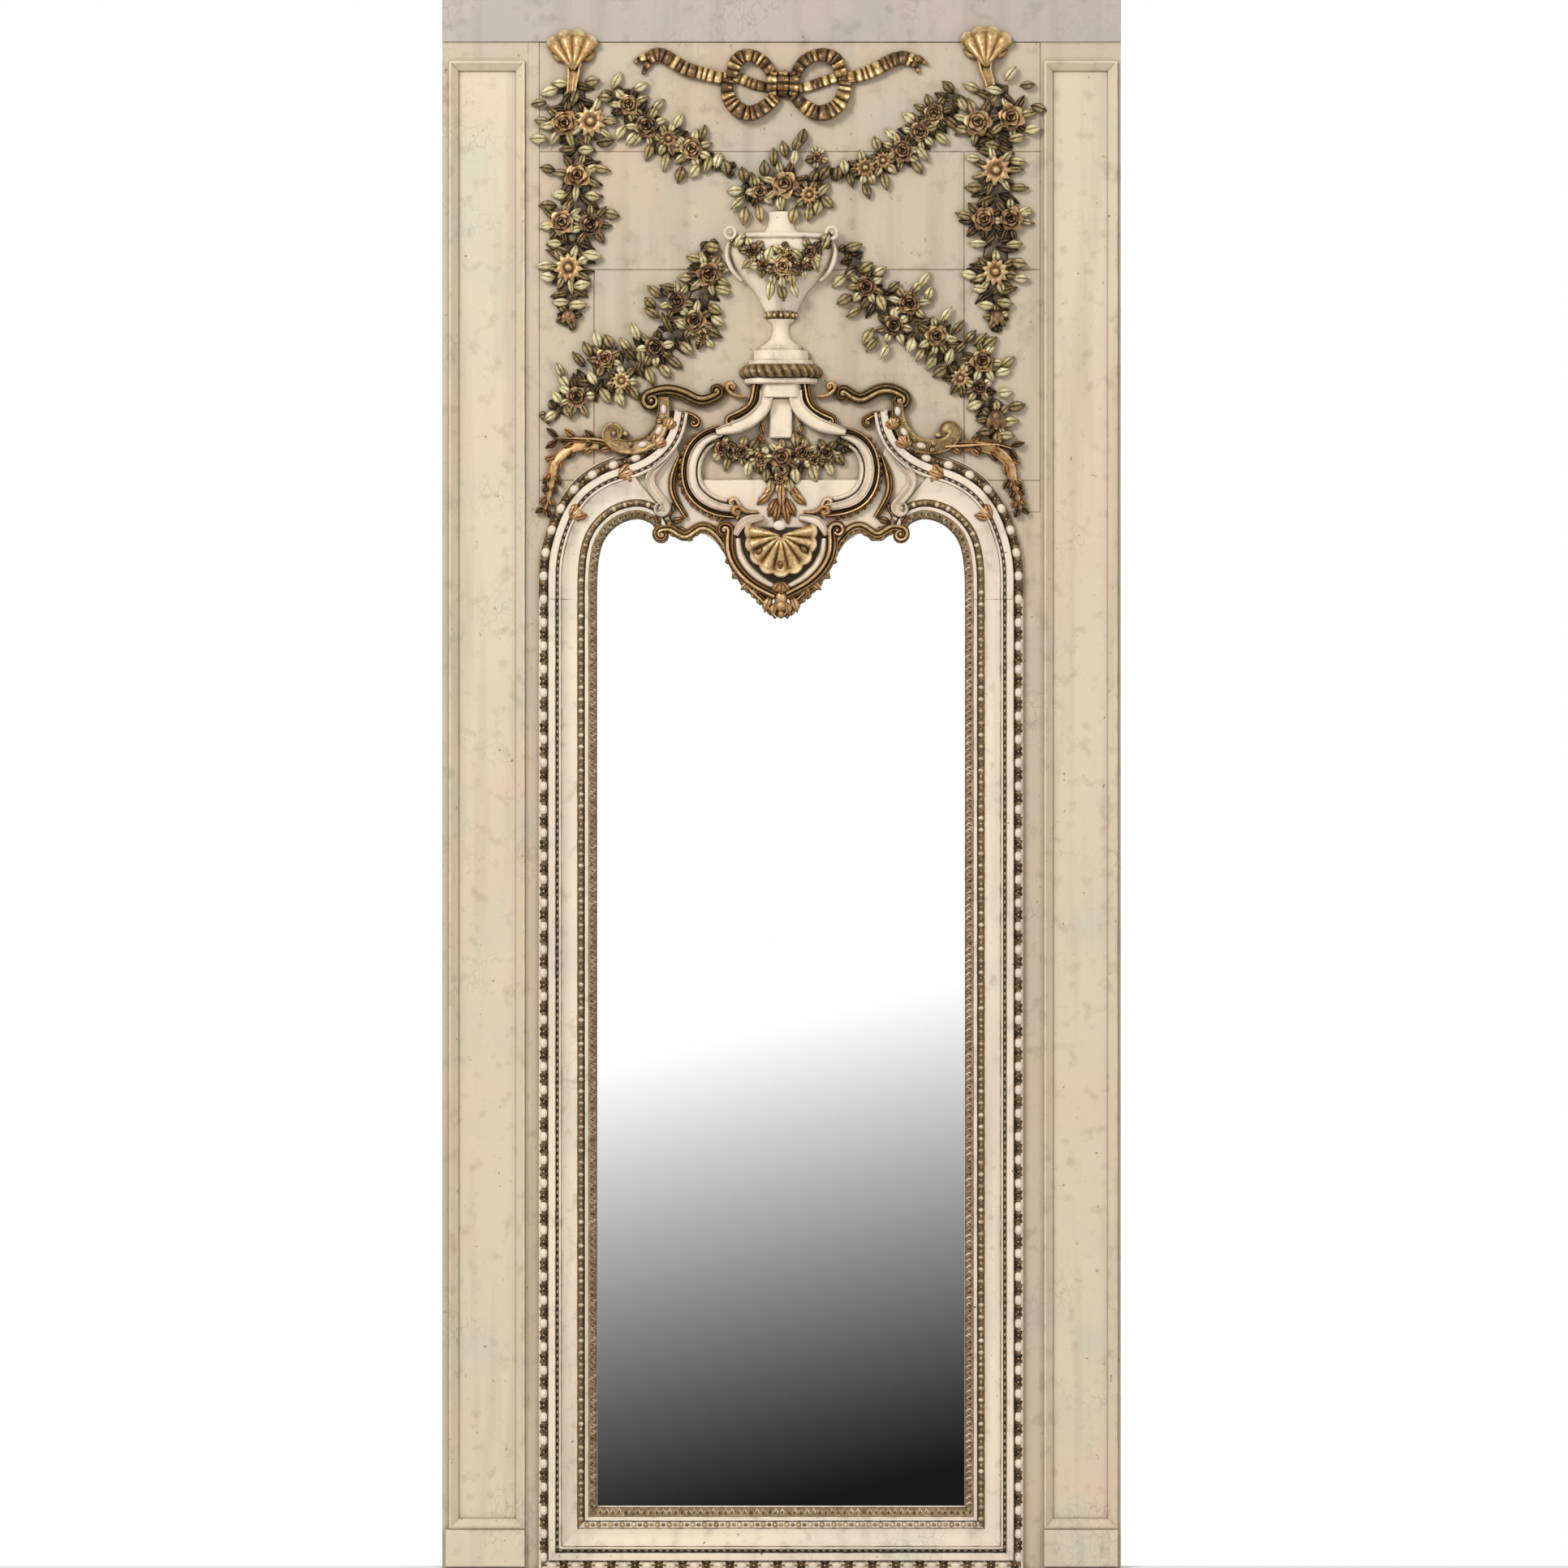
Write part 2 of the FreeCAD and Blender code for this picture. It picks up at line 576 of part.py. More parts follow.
def band(route, pieces, width, rise, section=ROOF, taper=(1, 1), lift=no_lift):
    """A carved band along a smoothed route; taper gives its width from start to end."""
    line = smooth(route, pieces)
    rings = []
    for index, (point, side) in enumerate(zip(line, sides(line))):
        place = index / pieces * (len(taper) - 1)
        step = min(int(place), len(taper) - 2)
        share = taper[step] + (taper[step + 1] - taper[step]) * (place - step)
        half = width * share / 2
        rings.append([raised((point[0] + side[0] * half * across, point[1] + side[1] * half * across),
                             rise * height + (lift(point) if height else 0))
                      for across, height in section])
    return skin(rings)


def volute(centre, radius, rise, count=6):
    """The round eye at the end of a scroll."""
    rings = []
    for share, height in ((1, 0), (1, 0.5), (0.6, 1)):
        rings.append([raised(toward(centre, math.tau * turn / count, radius * share), rise * height)
                      for turn in range(count)])
    return skin(rings, peak=raised(centre, rise * 0.85))


def bloom(centre, share, petals, lift):
    """A flower: petals that swell and fall back to a raised button."""
    radius, rise = size("bloom_radius") * share, size("bloom_rise") * share
    turn = centre[0] + centre[1]
    outline, crown = [], []
    for index in range(petals * 2):
        angle = turn + math.pi * index / petals
        tip = index % 2 == 0
        outline.append(raised(toward(centre, angle, radius * (1 if tip else 0.72)),
                              lift(centre) * SUNK_FOOT))
        crown.append(raised(toward(centre, angle, radius * 0.55),
                            lift(centre) + rise * (0.85 if tip else 0.55)))
    return skin([outline, crown], peak=raised(centre, lift(centre) + rise))


def leaf(root, tip, share, lift=no_lift):
    """A leaf blade from its root to its tip, with a raised rib."""
    half, rise = size("leaf_width") * share / 2, size("leaf_rise") * share
    angle = math.atan2(tip[1] - root[1], tip[0] - root[0])
    length = math.dist(root, tip)
    belly = toward(root, angle, length * 0.55)
    outline = [raised(point, lift(root) * SUNK_FOOT) for point in
               (root, toward(belly, angle - math.pi / 2, half), tip,
                toward(belly, angle + math.pi / 2, half))]
    return skin([outline], peak=raised(toward(root, angle, length / 2), lift(root) + rise))


def nearest(line, point):
    return min(line, key=lambda other: math.dist(other, point))


def leaf_on(line, centre, share, lift):
    """A leaf that grows out of a line, past the middle of its blade."""
    root = nearest(line, centre)
    angle = math.atan2(centre[1] - root[1], centre[0] - root[0])
    return leaf(root, toward(centre, angle, size("leaf_reach") * share), share, lift)


def joined(solids):
    """Carvings of one piece of wood as one solid."""
    body = solids[0].multiFuse(solids[1:]).removeSplitter()
    return max(body.Solids, key=lambda solid: solid.Volume)


def garland(route, blooms, leaves, pieces=12, taper=(1, 1), share=1, lift=no_lift):
    """Flowers and leaves on a narrow bed; a leaf carries each flower that stands off the bed."""
    route = spots(*route)
    line = smooth(route, pieces * 4)[2:-2]
    bed = band(route, pieces, size("core_width") * share, size("core_rise"), BED, taper, lift)
    solids = [bed]
    for across, up, scale in blooms:
        centre = spot(across, up)
        solids.append(bloom(centre, scale * share, 5 if scale > FULL_BLOOM else 4, lift))
        stalk = nearest(line, centre)
        if math.dist(stalk, centre) > size("core_width") / 2:
            solids.append(leaf(stalk, centre, share, lift))
    for across, up in leaves:
        solids.append(leaf_on(line, spot(across, up), share, lift))
    return joined(solids)


def scallop(hinge, facing, radius, rise, ribs, spread, squat=1):
    """A ribbed shell that opens from its hinge in the way it faces."""
    rings = [[], [], []]
    steps = ribs * 2
    for index in range(steps + 1):
        turn = (index / steps - 0.5) * spread
        ridge = index % 2 == 1
        reach = radius * (1 if ridge else 0.93) * (1 - (1 - squat) * abs(math.sin(turn)))
        lip = toward(hinge, facing + turn, reach)
        belly = toward(hinge, facing + turn, reach * 0.6)
        rings[0].append(raised(lip, 0))
        rings[1].append(raised(lip, rise * (0.5 if ridge else 0.35)))
        rings[2].append(raised(belly, rise * (1 if ridge else 0.75)))
    heel = toward(hinge, facing + math.pi, radius * 0.12)
    for ring, height in zip(rings, (0, 0.35, 0.7)):
        ring.append(raised(heel, rise * height))
    return skin(rings, peak=raised(toward(hinge, facing, radius * 0.12), rise * 0.8))


PLANTED = []


def seated(shape, seat):
    """A carving scaled from its drawing and moved so that its seat lies at that point of the frame."""
    scale, drawn, real = size("carving_scale"), spot(*seat), on_frame(*seat)
    shape.scale(scale)
    shape.translate(Vector(real[0] - scale * drawn[0], 0, real[1] - scale * drawn[1]))
    return shape


def plant(name, shape):
    """Scribes a carving to what it is planted on and beside, and adds it as a sub-part."""
    shape.translate(Vector(0, -size("field_front"), 0))
    for under in PLANTED:
        if not shape.BoundBox.intersect(under.BoundBox):
            continue
        shared = shape.BoundBox.intersected(under.BoundBox)
        if min(shared.XLength, shared.YLength, shared.ZLength) > TOUCHING:
            shape = shape.cut(under)
    if len(shape.Solids) > 1:
        shape = max(shape.Solids, key=lambda solid: solid.Volume)
    elif shape.Solids:
        shape = shape.Solids[0]
    shape = shape.removeSplitter()
    PLANTED.append(shape)
    return sub_part(name, shape)


# ---------------------------------------------------------------- arched head
OUTER_LINE = ((-100, 0), (-99.6, 7), (-96.8, 12.4), (-92, 17.2), (-85, 21.1), (-77.3, 23.5),
              (-69.9, 24.9), (-58.8, 26.6), (-50.4, 30), (-47.9, 34))
SIGHT_LINE = ((0, 0), (0.3, 5.7), (2.6, 10.9), (7, 14), (13.5, 16.2), (22.5, 17.3), (29.5, 16.6))
BOARD_LOWER = ((-48.5, 12.6), (-41, 12.6), (-34, 12), (-28.5, 11), (-23.3, 8), (-18.6, 5),
               (-13.5, 3.4), (0, 2.6))
BOARD_TOP = ((-42.4, 34), (-43.7, 29), (-40, 21.4), (40, 21.4), (43.7, 29), (42.4, 34))


def head_lines(way):
    """Outer edge and pearl line of one half of the arch; way -1 is left and 1 is right."""
    outer = smooth(spots(*((-way * across, up) for across, up in OUTER_LINE), place=on_frame), 13)
    start = size("frame_width") / 2 - (size("pearl_start") + size("light_start")) / 2
    unit = size("across_unit")
    pearl = [(size("frame_axis") + way * (start - across * unit),
              size("spring_height") + up * size("up_unit")) for across, up in SIGHT_LINE]
    return outer, smooth(pearl, 10)


def head_board():
    """The shaped board of the arch, behind the mouldings and the crest."""
    inset = size("sight_ovolo") / 2 + size("light_fillet")
    lower = smooth(spots(*BOARD_LOWER, place=on_frame), 10)
    axis = size("frame_axis")
    halves = []
    for way in (-1, 1):
        outer, pearl = head_lines(way)
        sight = [(x + way * side[0] * inset, z + way * side[1] * inset)
                 for (x, z), side in zip(pearl, sides(pearl))]
        halves.append((outer, sight))
    (left_outer, left_sight), (right_outer, right_sight) = halves
    right_lower = [(2 * axis - x, z) for x, z in lower]
    outline = (left_outer + spots(*BOARD_TOP, place=on_frame) + right_outer[::-1] + right_sight + right_lower
               + lower[-2::-1] + left_sight[::-1])
    corners = [raised(point, 0) for point in outline]
    face = Part.Face(Part.makePolygon(corners + corners[:1]))
    return face.extrude(Vector(0, -size("head_board_thickness"), 0))


def outer_section(way):
    """Bead course, fillet, groove and fine bead of the arch: (to the left, rise)."""
    bed = size("head_board_thickness")
    bead, fillet, groove, fine = (size(edge) for edge in
                                  ("fillet_start", "groove_start", "fine_start", "cove_start"))
    seat, top, low, crest = (size(rise) for rise in
                             ("bead_seat", "fillet_rise", "groove_rise", "fine_bead_rise"))
    swell = size("bead_course") / 4
    points = ((0, bed), (0, seat), (bead / 4, seat + swell), (bead * 3 / 4, seat + swell),
              (bead, seat), (bead, top), (fillet, top), (fillet, low), (groove, low),
              (groove, crest), (fine, crest), (fine, bed))
    return [(way * across, rise) for across, rise in points]


def inner_section(way):
    """Cove, pearls, fillet and gilt course of the arch, from the pearl line: (to the left, rise)."""
    bed = size("head_board_thickness")
    edges = ("cove_start", "pearl_start", "light_start", "ovolo_start", "jamb_face")
    centre = (size("pearl_start") + size("light_start")) / 2
    cove, pearl, light, ovolo, face = (size(edge) - centre for edge in edges)
    board_edge = size("sight_ovolo") / 2 + size("light_fillet")
    high, low, seat, fillet, crest, lip = (size(rise) for rise in (
        "cove_high", "cove_low", "pearl_seat", "light_fillet_rise", "ovolo_high", "sight_lip"))
    swell = size("pearl_course") / 4
    points = ((cove, bed), (cove, high), ((2 * cove + pearl) / 3, (2 * low + high) / 3),
              (pearl, low), (pearl, seat),
              (pearl / 2, seat + swell), (light / 2, seat + swell), (light, seat),
              (light, fillet), (ovolo, fillet), (ovolo, crest), ((ovolo + face) / 2, crest),
              (face, lip), (face, 0), (board_edge, 0), (board_edge, bed))
    return [(way * across, rise) for across, rise in points]


def spandrel_curl(way):
    """The curl that ends the inner courses of the arch: a tapered band and its eye."""
    wide, rise = size("edging_width"), size("cove_high")
    route = spots((way * 54.5, 22), (way * 51.6, 19.5), (way * 48.6, 17), (way * 47.4, 14.8),
                  place=on_frame)
    return [band(route, 6, wide * 0.8, rise, taper=(0.5, 1, 1)),
            volute(on_frame(way * 49, 13.6), wide * 0.8, rise * 1.1)]


def arched_head():
    """The shaped board and the two runs of moulding on each half of the arch."""
    plant("head_board", head_board())
    for side, way in (("left", -1), ("right", 1)):
        outer, pearl = head_lines(way)
        plant(side + "_arch_outer_moulding", moulded(outer, outer_section(way)))
        plant(side + "_arch_inner_moulding",
              joined([moulded(pearl, inner_section(way))] + spandrel_curl(way)))


# ---------------------------------------------------------------- urn and what it stands on
URN_SEAT, CREST_SEAT, CARTOUCHE_SEAT = (0, 38.6), (0, 26), (0, 12)


def turned(sections, half_width, depth, count=8):
    """A half-round turned piece: (height, share of the half width), widest at share 1."""
    rings = []
    for z, share in sections:
        ring = []
        for step in range(count + 1):
            angle = math.pi * step / count
            ring.append(raised((-math.cos(angle) * half_width * share, z),
                               math.sin(angle) * depth * share))
        rings.append(ring)
    return skin(rings)


def stepped(sections, half_width, depth):
    """A canted block in steps: (height, share of the half width)."""
    rings = []
    for z, share in sections:
        rings.append([raised((half_width * share * across, z), depth * share * forward)
                      for across, forward in ((-1, 0), (-1, 0.45), (-0.6, 1), (0.6, 1), (1, 0.45),
                                              (1, 0))])
    return skin(rings)


def heights(*pairs):
    """Turning sections, from percent of the crown's height to heights on the drawing."""
    return [(up * size("drawn_up"), share) for up, share in pairs]


def urn():
    """Bowl with neck, rim and handles, then foot, then the canted plinth under it."""
    wide, deep = size("urn_half_width"), size("urn_depth")
    plant("urn_plinth", seated(stepped(heights(
        (38.6, 0.84), (39.5, 0.84), (39.6, 0.95), (40.2, 1), (41.2, 0.98), (41.8, 0.88), (41.9, 0.76),
        (42.7, 0.76), (42.8, 0.64), (44.5, 0.64)), size("plinth_half_width"),
        size("plinth_step_depth")), URN_SEAT))
    plant("urn_foot", seated(turned(heights(
        (44.5, 0.42), (45.2, 0.4), (45.6, 0.32), (46.7, 0.2), (48.6, 0.155), (50.2, 0.22),
        (50.3, 0.3), (51.6, 0.3)), wide, deep), URN_SEAT))
    bowl = turned(heights(
        (51.6, 0.3), (53, 0.38), (55.2, 0.5), (58, 0.76), (60.6, 0.91), (63.8, 1), (64.8, 0.94),
        (65.5, 0.86), (66, 0.34), (67.2, 0.23), (69.6, 0.24)),
        wide, deep)
    handles = []
    for way in (-1, 1):
        centre = spot(way * 21, 65.4)
        handles.append(volute(centre, size("ribbon_width") / 2, size("ribbon_rise")))
        handles.append(band(spots((way * 21, 65.4), (way * 23, 62), (way * 21, 58.5), (way * 15, 57.6)),
                            6, size("ribbon_width") / 2, size("ribbon_rise"), BED))
    plant("urn_bowl", seated(joined([bowl] + handles), URN_SEAT))


def crest_pedestal():
    """Block under the urn, the cream panel below it and the two legs that curve outwards."""
    block = stepped(heights((34.6, 0.9), (36.2, 0.9), (36.6, 1), (38.6, 1)),
                    size("leg_width") * 1.55, size("pedestal_rise"))
    niche = band(spots((0, 28.8), (0, 32), (0, 36)), 2, size("leg_width") * 1.6,
                 size("niche_rise"), BED, (1.1, 1))
    legs = []
    for way in (-1, 1):
        legs.append(band(spots((way * 6.4, 37.4), (way * 7.8, 34.1), (way * 12, 31.9),
                               (way * 20.6, 30.4)), 7, size("leg_width"), size("leg_rise")))
        legs.append(band(spots((way * 11.4, 38.2), (way * 11.8, 35.6), (way * 15, 33.8),
                               (way * 21.8, 32.6)), 6, size("scroll_width"), size("leg_rise") * 0.8,
                         taper=(0.7, 1, 0.6)))
    plant("crest_pedestal", seated(joined([block, niche] + legs), URN_SEAT))


# ---------------------------------------------------------------- scrolls of the crest
S_SCROLLS = {
    "left": (((-20.6, 38), (-25.9, 36.4), (-33, 35.6), (-39.7, 36.8), (-47.8, 37.2), (-56.5, 35.8)),
             ((-49, 37), (-49.6, 31.4), (-53.5, 28.9), (-60.2, 27.9), (-67.2, 28.2), (-71.4, 29.6)),
             (-72.4, 30.4)),
    "right": (((22.4, 38), (26.1, 36.4), (32.4, 36.2), (38.8, 37.3), (45.2, 37.5), (51.8, 36)),
              ((49, 37), (50, 31.4), (55.6, 28.6), (62.7, 27.8), (68.4, 28.3), (72.6, 29.8)),
              (73.6, 30.6)),
}
ACANTHUS = {
    "left": (((-62, 27.9), (-72, 27.8), (-80.6, 28.3), (-93.1, 28.6)),
             ((-80, 28.2), (-89, 26.6), (-94.6, 23), (-96.6, 17.6))),
    "right": (((62, 27.9), (70, 27.4), (80.4, 27.9), (95.9, 27)),
              ((80, 28), (91, 26.3), (96.4, 22.8), (98.6, 16.6))),
}


def s_scroll(side):
    """The upper gilt scroll with its volutes, flowing into the acanthus beyond the arch."""
    top, down, eye = S_SCROLLS[side]
    wide, rise = size("scroll_width"), size("scroll_rise")
    blade, lobe = ACANTHUS[side]
    solids = [
        band(spots(*top), 7, wide, rise, taper=(0.6, 1, 1.1, 1, 0.7)),
        band(spots(*down), 8, wide, rise * 0.9, taper=(1, 1, 0.9, 0.7, 0.6)),
        volute(spot(*top[0]), wide / 2, rise),
        volute(spot(*top[-1]), wide * 0.6, rise),
        volute(spot(*eye), wide * 0.6, rise),
        band(spots(*blade), 6, wide, rise * 0.8, BLADE, (0.9, 2, 0.3)),
        band(spots(*lobe), 7, wide, rise * 0.7, BLADE, (0.9, 1.9, 0.3)),
    ]
    plant(side + "_s_scroll", seated(joined(solids), top[-2]))


C_SCROLL = ((26.5, 30.4), (33.5, 29), (38.4, 26.1), (38.8, 21.7), (34.6, 17.8), (26.4, 16),
            (18.6, 15.8))
CARTOUCHE_EDGE = ((17.6, 14.2), (21, 10.2), (19.8, 7), (15.4, 4), (5.6, 1.4))
LOWER_EDGE = ((-51.4, 12.2), (-43.7, 12.5), (-39.4, 11.8), (-32.5, 12.9), (-27, 12), (-22.6, 9.4),
              (-19, 6.4), (-13, 2.4), (-5, 0.6))


def c_scroll(side, way):
    """The big reeded scroll of the crest, which ends in an eye at its head."""
    route = [(way * across, up) for across, up in C_SCROLL]
    section = REEDED if way < 0 else tuple((-across, rise) for across, rise in REEDED[::-1])
    solids = [
        band(spots(*route), 13, size("reeded_width"), size("reeded_rise"), section,
             (0.5, 0.9, 1, 1, 0.8)),
        volute(spot(*route[0]), size("scroll_width") * 0.5, size("reeded_rise")),
    ]
    plant(side + "_c_scroll", seated(joined(solids), CREST_SEAT))


def cartouche():
    """Shell, the edging round it and down the crest's lower edge, and the pendant."""
    wide, rise = size("edging_width"), size("edging_rise")
    solids = []
    for way in (-1, 1):
        edge = [(way * across, up) for across, up in CARTOUCHE_EDGE]
        lower = [(-way * across, up) for across, up in LOWER_EDGE]
        solids.append(band(spots(*edge), 7, wide, rise * 1.5, taper=(0.7, 1, 1, 0.8)))
        solids.append(band(spots((way * 19.4, 11.6), (way * 15.8, 13.9), (way * 9, 14.4)), 4, wide,
                           rise * 1.3, taper=(0.8, 1, 0.8)))
        solids.append(band(spots(*lower), 9, wide * 0.8, rise, BED, (0.7, 1, 0.8, 1, 0.8)))
    bed = [spot(*point) for point in ((-18, 13), (-19, 8), (-14, 4), (-5, 1), (0, 0), (5, 1), (14, 4),
                                      (19, 8), (18, 13))]
    solids.append(skin([[raised(point, 0) for point in bed],
                        [raised(point, size("head_board_thickness") + size("carving_edge"))
                         for point in bed]]))
    solids.append(leaf(spot(0, 3), spot(0, -3.7), 1))
    for way in (-1, 1):
        solids.append(leaf(spot(way * 3, 2), spot(way * 5.4, -1.2), 0.6))
    plant("cartouche_frame", seated(joined(solids), CARTOUCHE_SEAT))
    shell = scallop(spot(0, 13.4), -math.pi / 2, size("scallop_radius"), size("scallop_rise"), 9,
                    math.radians(200), 0.72)
    plant("cartouche_shell", seated(shell, CARTOUCHE_SEAT))


# ---------------------------------------------------------------- garlands, bow and shells
def over_bowl(point):
    """How far the urn's bowl stands in front of the field at a point."""
    share = abs(point[0]) / size("urn_half_width")
    return size("urn_depth") * math.sqrt(max(0.05, 1 - share ** 2))


DROPS = {
    "left": (
        ((-86, 92), (-84.5, 85.6), (-84, 76), (-84.4, 67.4), (-87, 59), (-87.7, 50)),
        ((-89.6, 85.3, 1), (-78.4, 85.4, 1), (-84, 76, 0.95), (-90, 67.5, 0.95), (-78.8, 67.1, 0.9),
         (-87.5, 59.4, 0.95), (-87.7, 50.5, 0.6)),
        ((-95.7, 90), (-78, 92), (-96.4, 77.1), (-73.5, 77.6), (-96.8, 71), (-71, 69.4), (-78, 61.7),
         (-97, 59), (-81.3, 55.6), (-92, 54.4), (-84, 52.4), (-99, 84), (-74, 89.6), (-71, 82.4),
         (-96, 64)),
    ),
    "right": (
        ((86.5, 92), (87.6, 85.6), (88.6, 76.8), (89, 68), (88.5, 59), (89.2, 50)),
        ((82, 85.4, 1), (94.9, 86, 1), (88.8, 76.8, 1), (83.6, 68.1, 0.95), (94.6, 68.1, 0.95),
         (88.5, 58.7, 0.95), (89.2, 50.4, 0.6)),
        ((95, 93), (101.9, 91), (78.4, 91.2), (106, 86.6), (98.6, 80.4), (75.7, 69.6), (80.4, 63.4),
         (78, 57.6), (98.8, 61), (99.6, 56.6), (84.8, 52.7), (93.2, 53), (80, 79.4), (102, 71.6)),
    ),
}
TOP_SWAGS = {
    "left": (
        ((-70, 91.2), (-55.8, 84.9), (-37, 80.4), (-21, 77.4)),
        ((-62.9, 88.2, 0.95), (-55, 84.6, 0.95), (-46.1, 82, 0.85), (-36.6, 80.4, 0.95)),
        ((-66.4, 84), (-58, 90.6), (-59, 80.6), (-47, 86.4), (-43, 76.4), (-51.6, 78.4), (-31, 82.6),
         (-27.6, 76.4), (-23, 80)),
    ),
    "right": (
        ((72, 90.8), (57.3, 84), (42.9, 79.2), (22, 76.4)),
        ((63.4, 87, 0.95), (56.6, 83.8, 0.9), (49.4, 80.6, 0.95), (35, 77.6, 0.95)),
        ((66.3, 91.2), (68.6, 82.6), (59.8, 78.8), (47, 85), (41.2, 74.2), (41, 81.8), (28.4, 80),
         (29.4, 73.6)),
    ),
}
URN_GARLANDS = {
    "left": (
        ((-30.6, 64), (-30.4, 58.2), (-35.7, 51.5), (-47.8, 45.7), (-65.9, 41.3), (-84.3, 36.2)),
        ((-30.4, 58.2, 1), (-42.4, 53, 0.9), (-35.7, 49.9, 0.85), (-52.1, 45.4, 0.9),
         (-72.2, 43, 0.85), (-64, 39.6, 0.85), (-84.3, 36.4, 1)),
        ((-36.6, 61.4), (-39.7, 57.6), (-46.4, 56.6), (-53.4, 54.4), (-23.4, 55.6), (-26.4, 50.6),
         (-29, 46.4), (-60.2, 48), (-77, 46.6), (-82, 42.6), (-91, 39.6), (-93.4, 35),
         (-72.6, 36), (-58.8, 37), (-46.8, 40.6), (-95.4, 32.4), (-29, 63.6)),
    ),
    "right": (
        ((26.7, 63.6), (35.1, 58.1), (45.5, 52.5), (63, 46.7), (78.1, 41.3), (88.8, 32.6)),
        ((34.6, 56.6, 0.9), (52.4, 53, 0.95), (45, 49.6, 0.9), (64.3, 47.2, 0.95), (83, 42.2, 0.95),
         (72.6, 39.8, 0.8), (88.8, 32.8, 1)),
        ((29, 63.6), (37, 61.4), (25.4, 59.4), (43, 58.4), (60.3, 56), (24.1, 55.6), (35.8, 46.6),
         (42.9, 43.8), (57.3, 42.6), (77.4, 48), (88, 47), (95, 42.4), (97.6, 35.6), (92.6, 28.8),
         (64, 40.6), (80, 34.4)),
    ),
}
BOW = {
    "left": (
        ((-60, 94.6), (-50.8, 97.6), (-38.4, 94.9), (-28, 93.6), (-3, 92.6)),
        (((-3, 92.6), (-8.4, 96.6), (-15.4, 98), (-22.4, 96.4), (-23.6, 93)),
         ((-3, 92.6), (-6.8, 88.6), (-13.5, 86.2), (-21, 88), (-24.4, 93.2))),
    ),
    "right": (
        ((60, 95), (51.4, 97.2), (41, 95.6), (29.1, 93.2), (4.6, 92.6)),
        (((4.6, 92.6), (9.4, 96.8), (17.4, 98.4), (24.6, 97), (26.4, 93.2)),
         ((4.6, 92.6), (8.8, 88.4), (15.6, 86.2), (23.4, 87.6), (27.4, 92.8))),
    ),
}
BOUQUET = (
    ((-12, 73), (0, 74.4), (11, 72.8)),
    ((1.2, 74.4, 1), (-9.4, 73.1, 0.7), (11.6, 72.5, 0.75), (14.4, 79, 0.6), (4, 79.4, 0.6),
     (-3.4, 77.8, 0.6)),
    ((9, 82.2), (1.2, 82.2), (-9, 80), (-15.5, 77), (-18.9, 73.6), (-18.6, 70), (-9, 69),
     (11.6, 68.4), (19.6, 70.6), (19.6, 75)),
)
FESTOON = (
    ((-17.4, 63.2), (-10.8, 60.4), (0.6, 59), (12, 60.4), (19.2, 63.2)),
    ((0.6, 58.8, 0.8), (0.6, 62.4, 0.65), (-11.8, 61.6, 0.75), (12, 61.4, 0.75)),
    ((0.6, 54), (-5, 55.2), (6, 55.2), (-7.4, 57.6), (-17.6, 60.4), (18.6, 60.2)),
)
CREST_SWAG = (
    ((-27, 28.4), (-16.5, 26.4), (0.2, 25.2), (17.7, 26), (28.4, 28.1)),
    ((0.2, 25.6, 0.9), (-0.2, 21.2, 0.7), (-16, 26.2, 0.85), (-24.6, 27, 0.8), (9, 26.2, 0.85),
     (19, 25.8, 0.85), (-8.2, 25.6, 0.8)),
    ((31, 28), (25, 24), (-20.2, 22.8), (-10.8, 21.8), (9.6, 22), (17, 22), (-29.4, 29.8)),
)
SPRAY = (((0, 21), (0, 14.4)), ((0, 19.6), (-6.4, 20.2)), ((0, 19.6), (6.4, 20.2)),
         ((0, 17.4), (-6.2, 16.4)), ((0, 17.4), (6.2, 16.4)))


def bow():
    """Knot, and on each side a tail and two loops of crimped ribbon."""
    wide, rise = size("ribbon_width"), size("ribbon_rise")
    knot = (0.9, 92.4)
    plant("bow_knot", seated(volute(spot(*knot), size("knot_radius"), rise * 1.5, count=10), knot))
    for side, (tail, loops) in BOW.items():
        solids = [band(spots(*tail), 9, wide, rise, BED, (0.8, 1, 0.8))]
        for loop in loops:
            solids.append(band(spots(*loop), 8, wide, rise * 0.9, BED, (0.6, 1, 0.8)))
        plant(side + "_bow", seated(joined(solids), knot))


def pilaster_shell(side, hinge, foot):
    """A fluted shell on its stem at the head of a pilaster."""
    radius, rise = size("pilaster_shell_radius"), size("pilaster_shell_rise")
    solids = [
        scallop(spot(*hinge), math.pi / 2, radius, rise, 5, math.radians(110)),
        band(spots(hinge, ((hinge[0] + foot[0]) / 2, (hinge[1] + foot[1]) / 2), foot), 2,
             radius * 0.35, rise * 0.8),
    ]
    plant(side + "_pilaster_shell", seated(joined(solids), hinge))


def hung(name, parts, pieces, taper):
    """A garland that keeps its place on the frame by the middle point of its line."""
    plant(name, seated(garland(*parts, pieces=pieces, taper=taper), parts[0][len(parts[0]) // 2]))


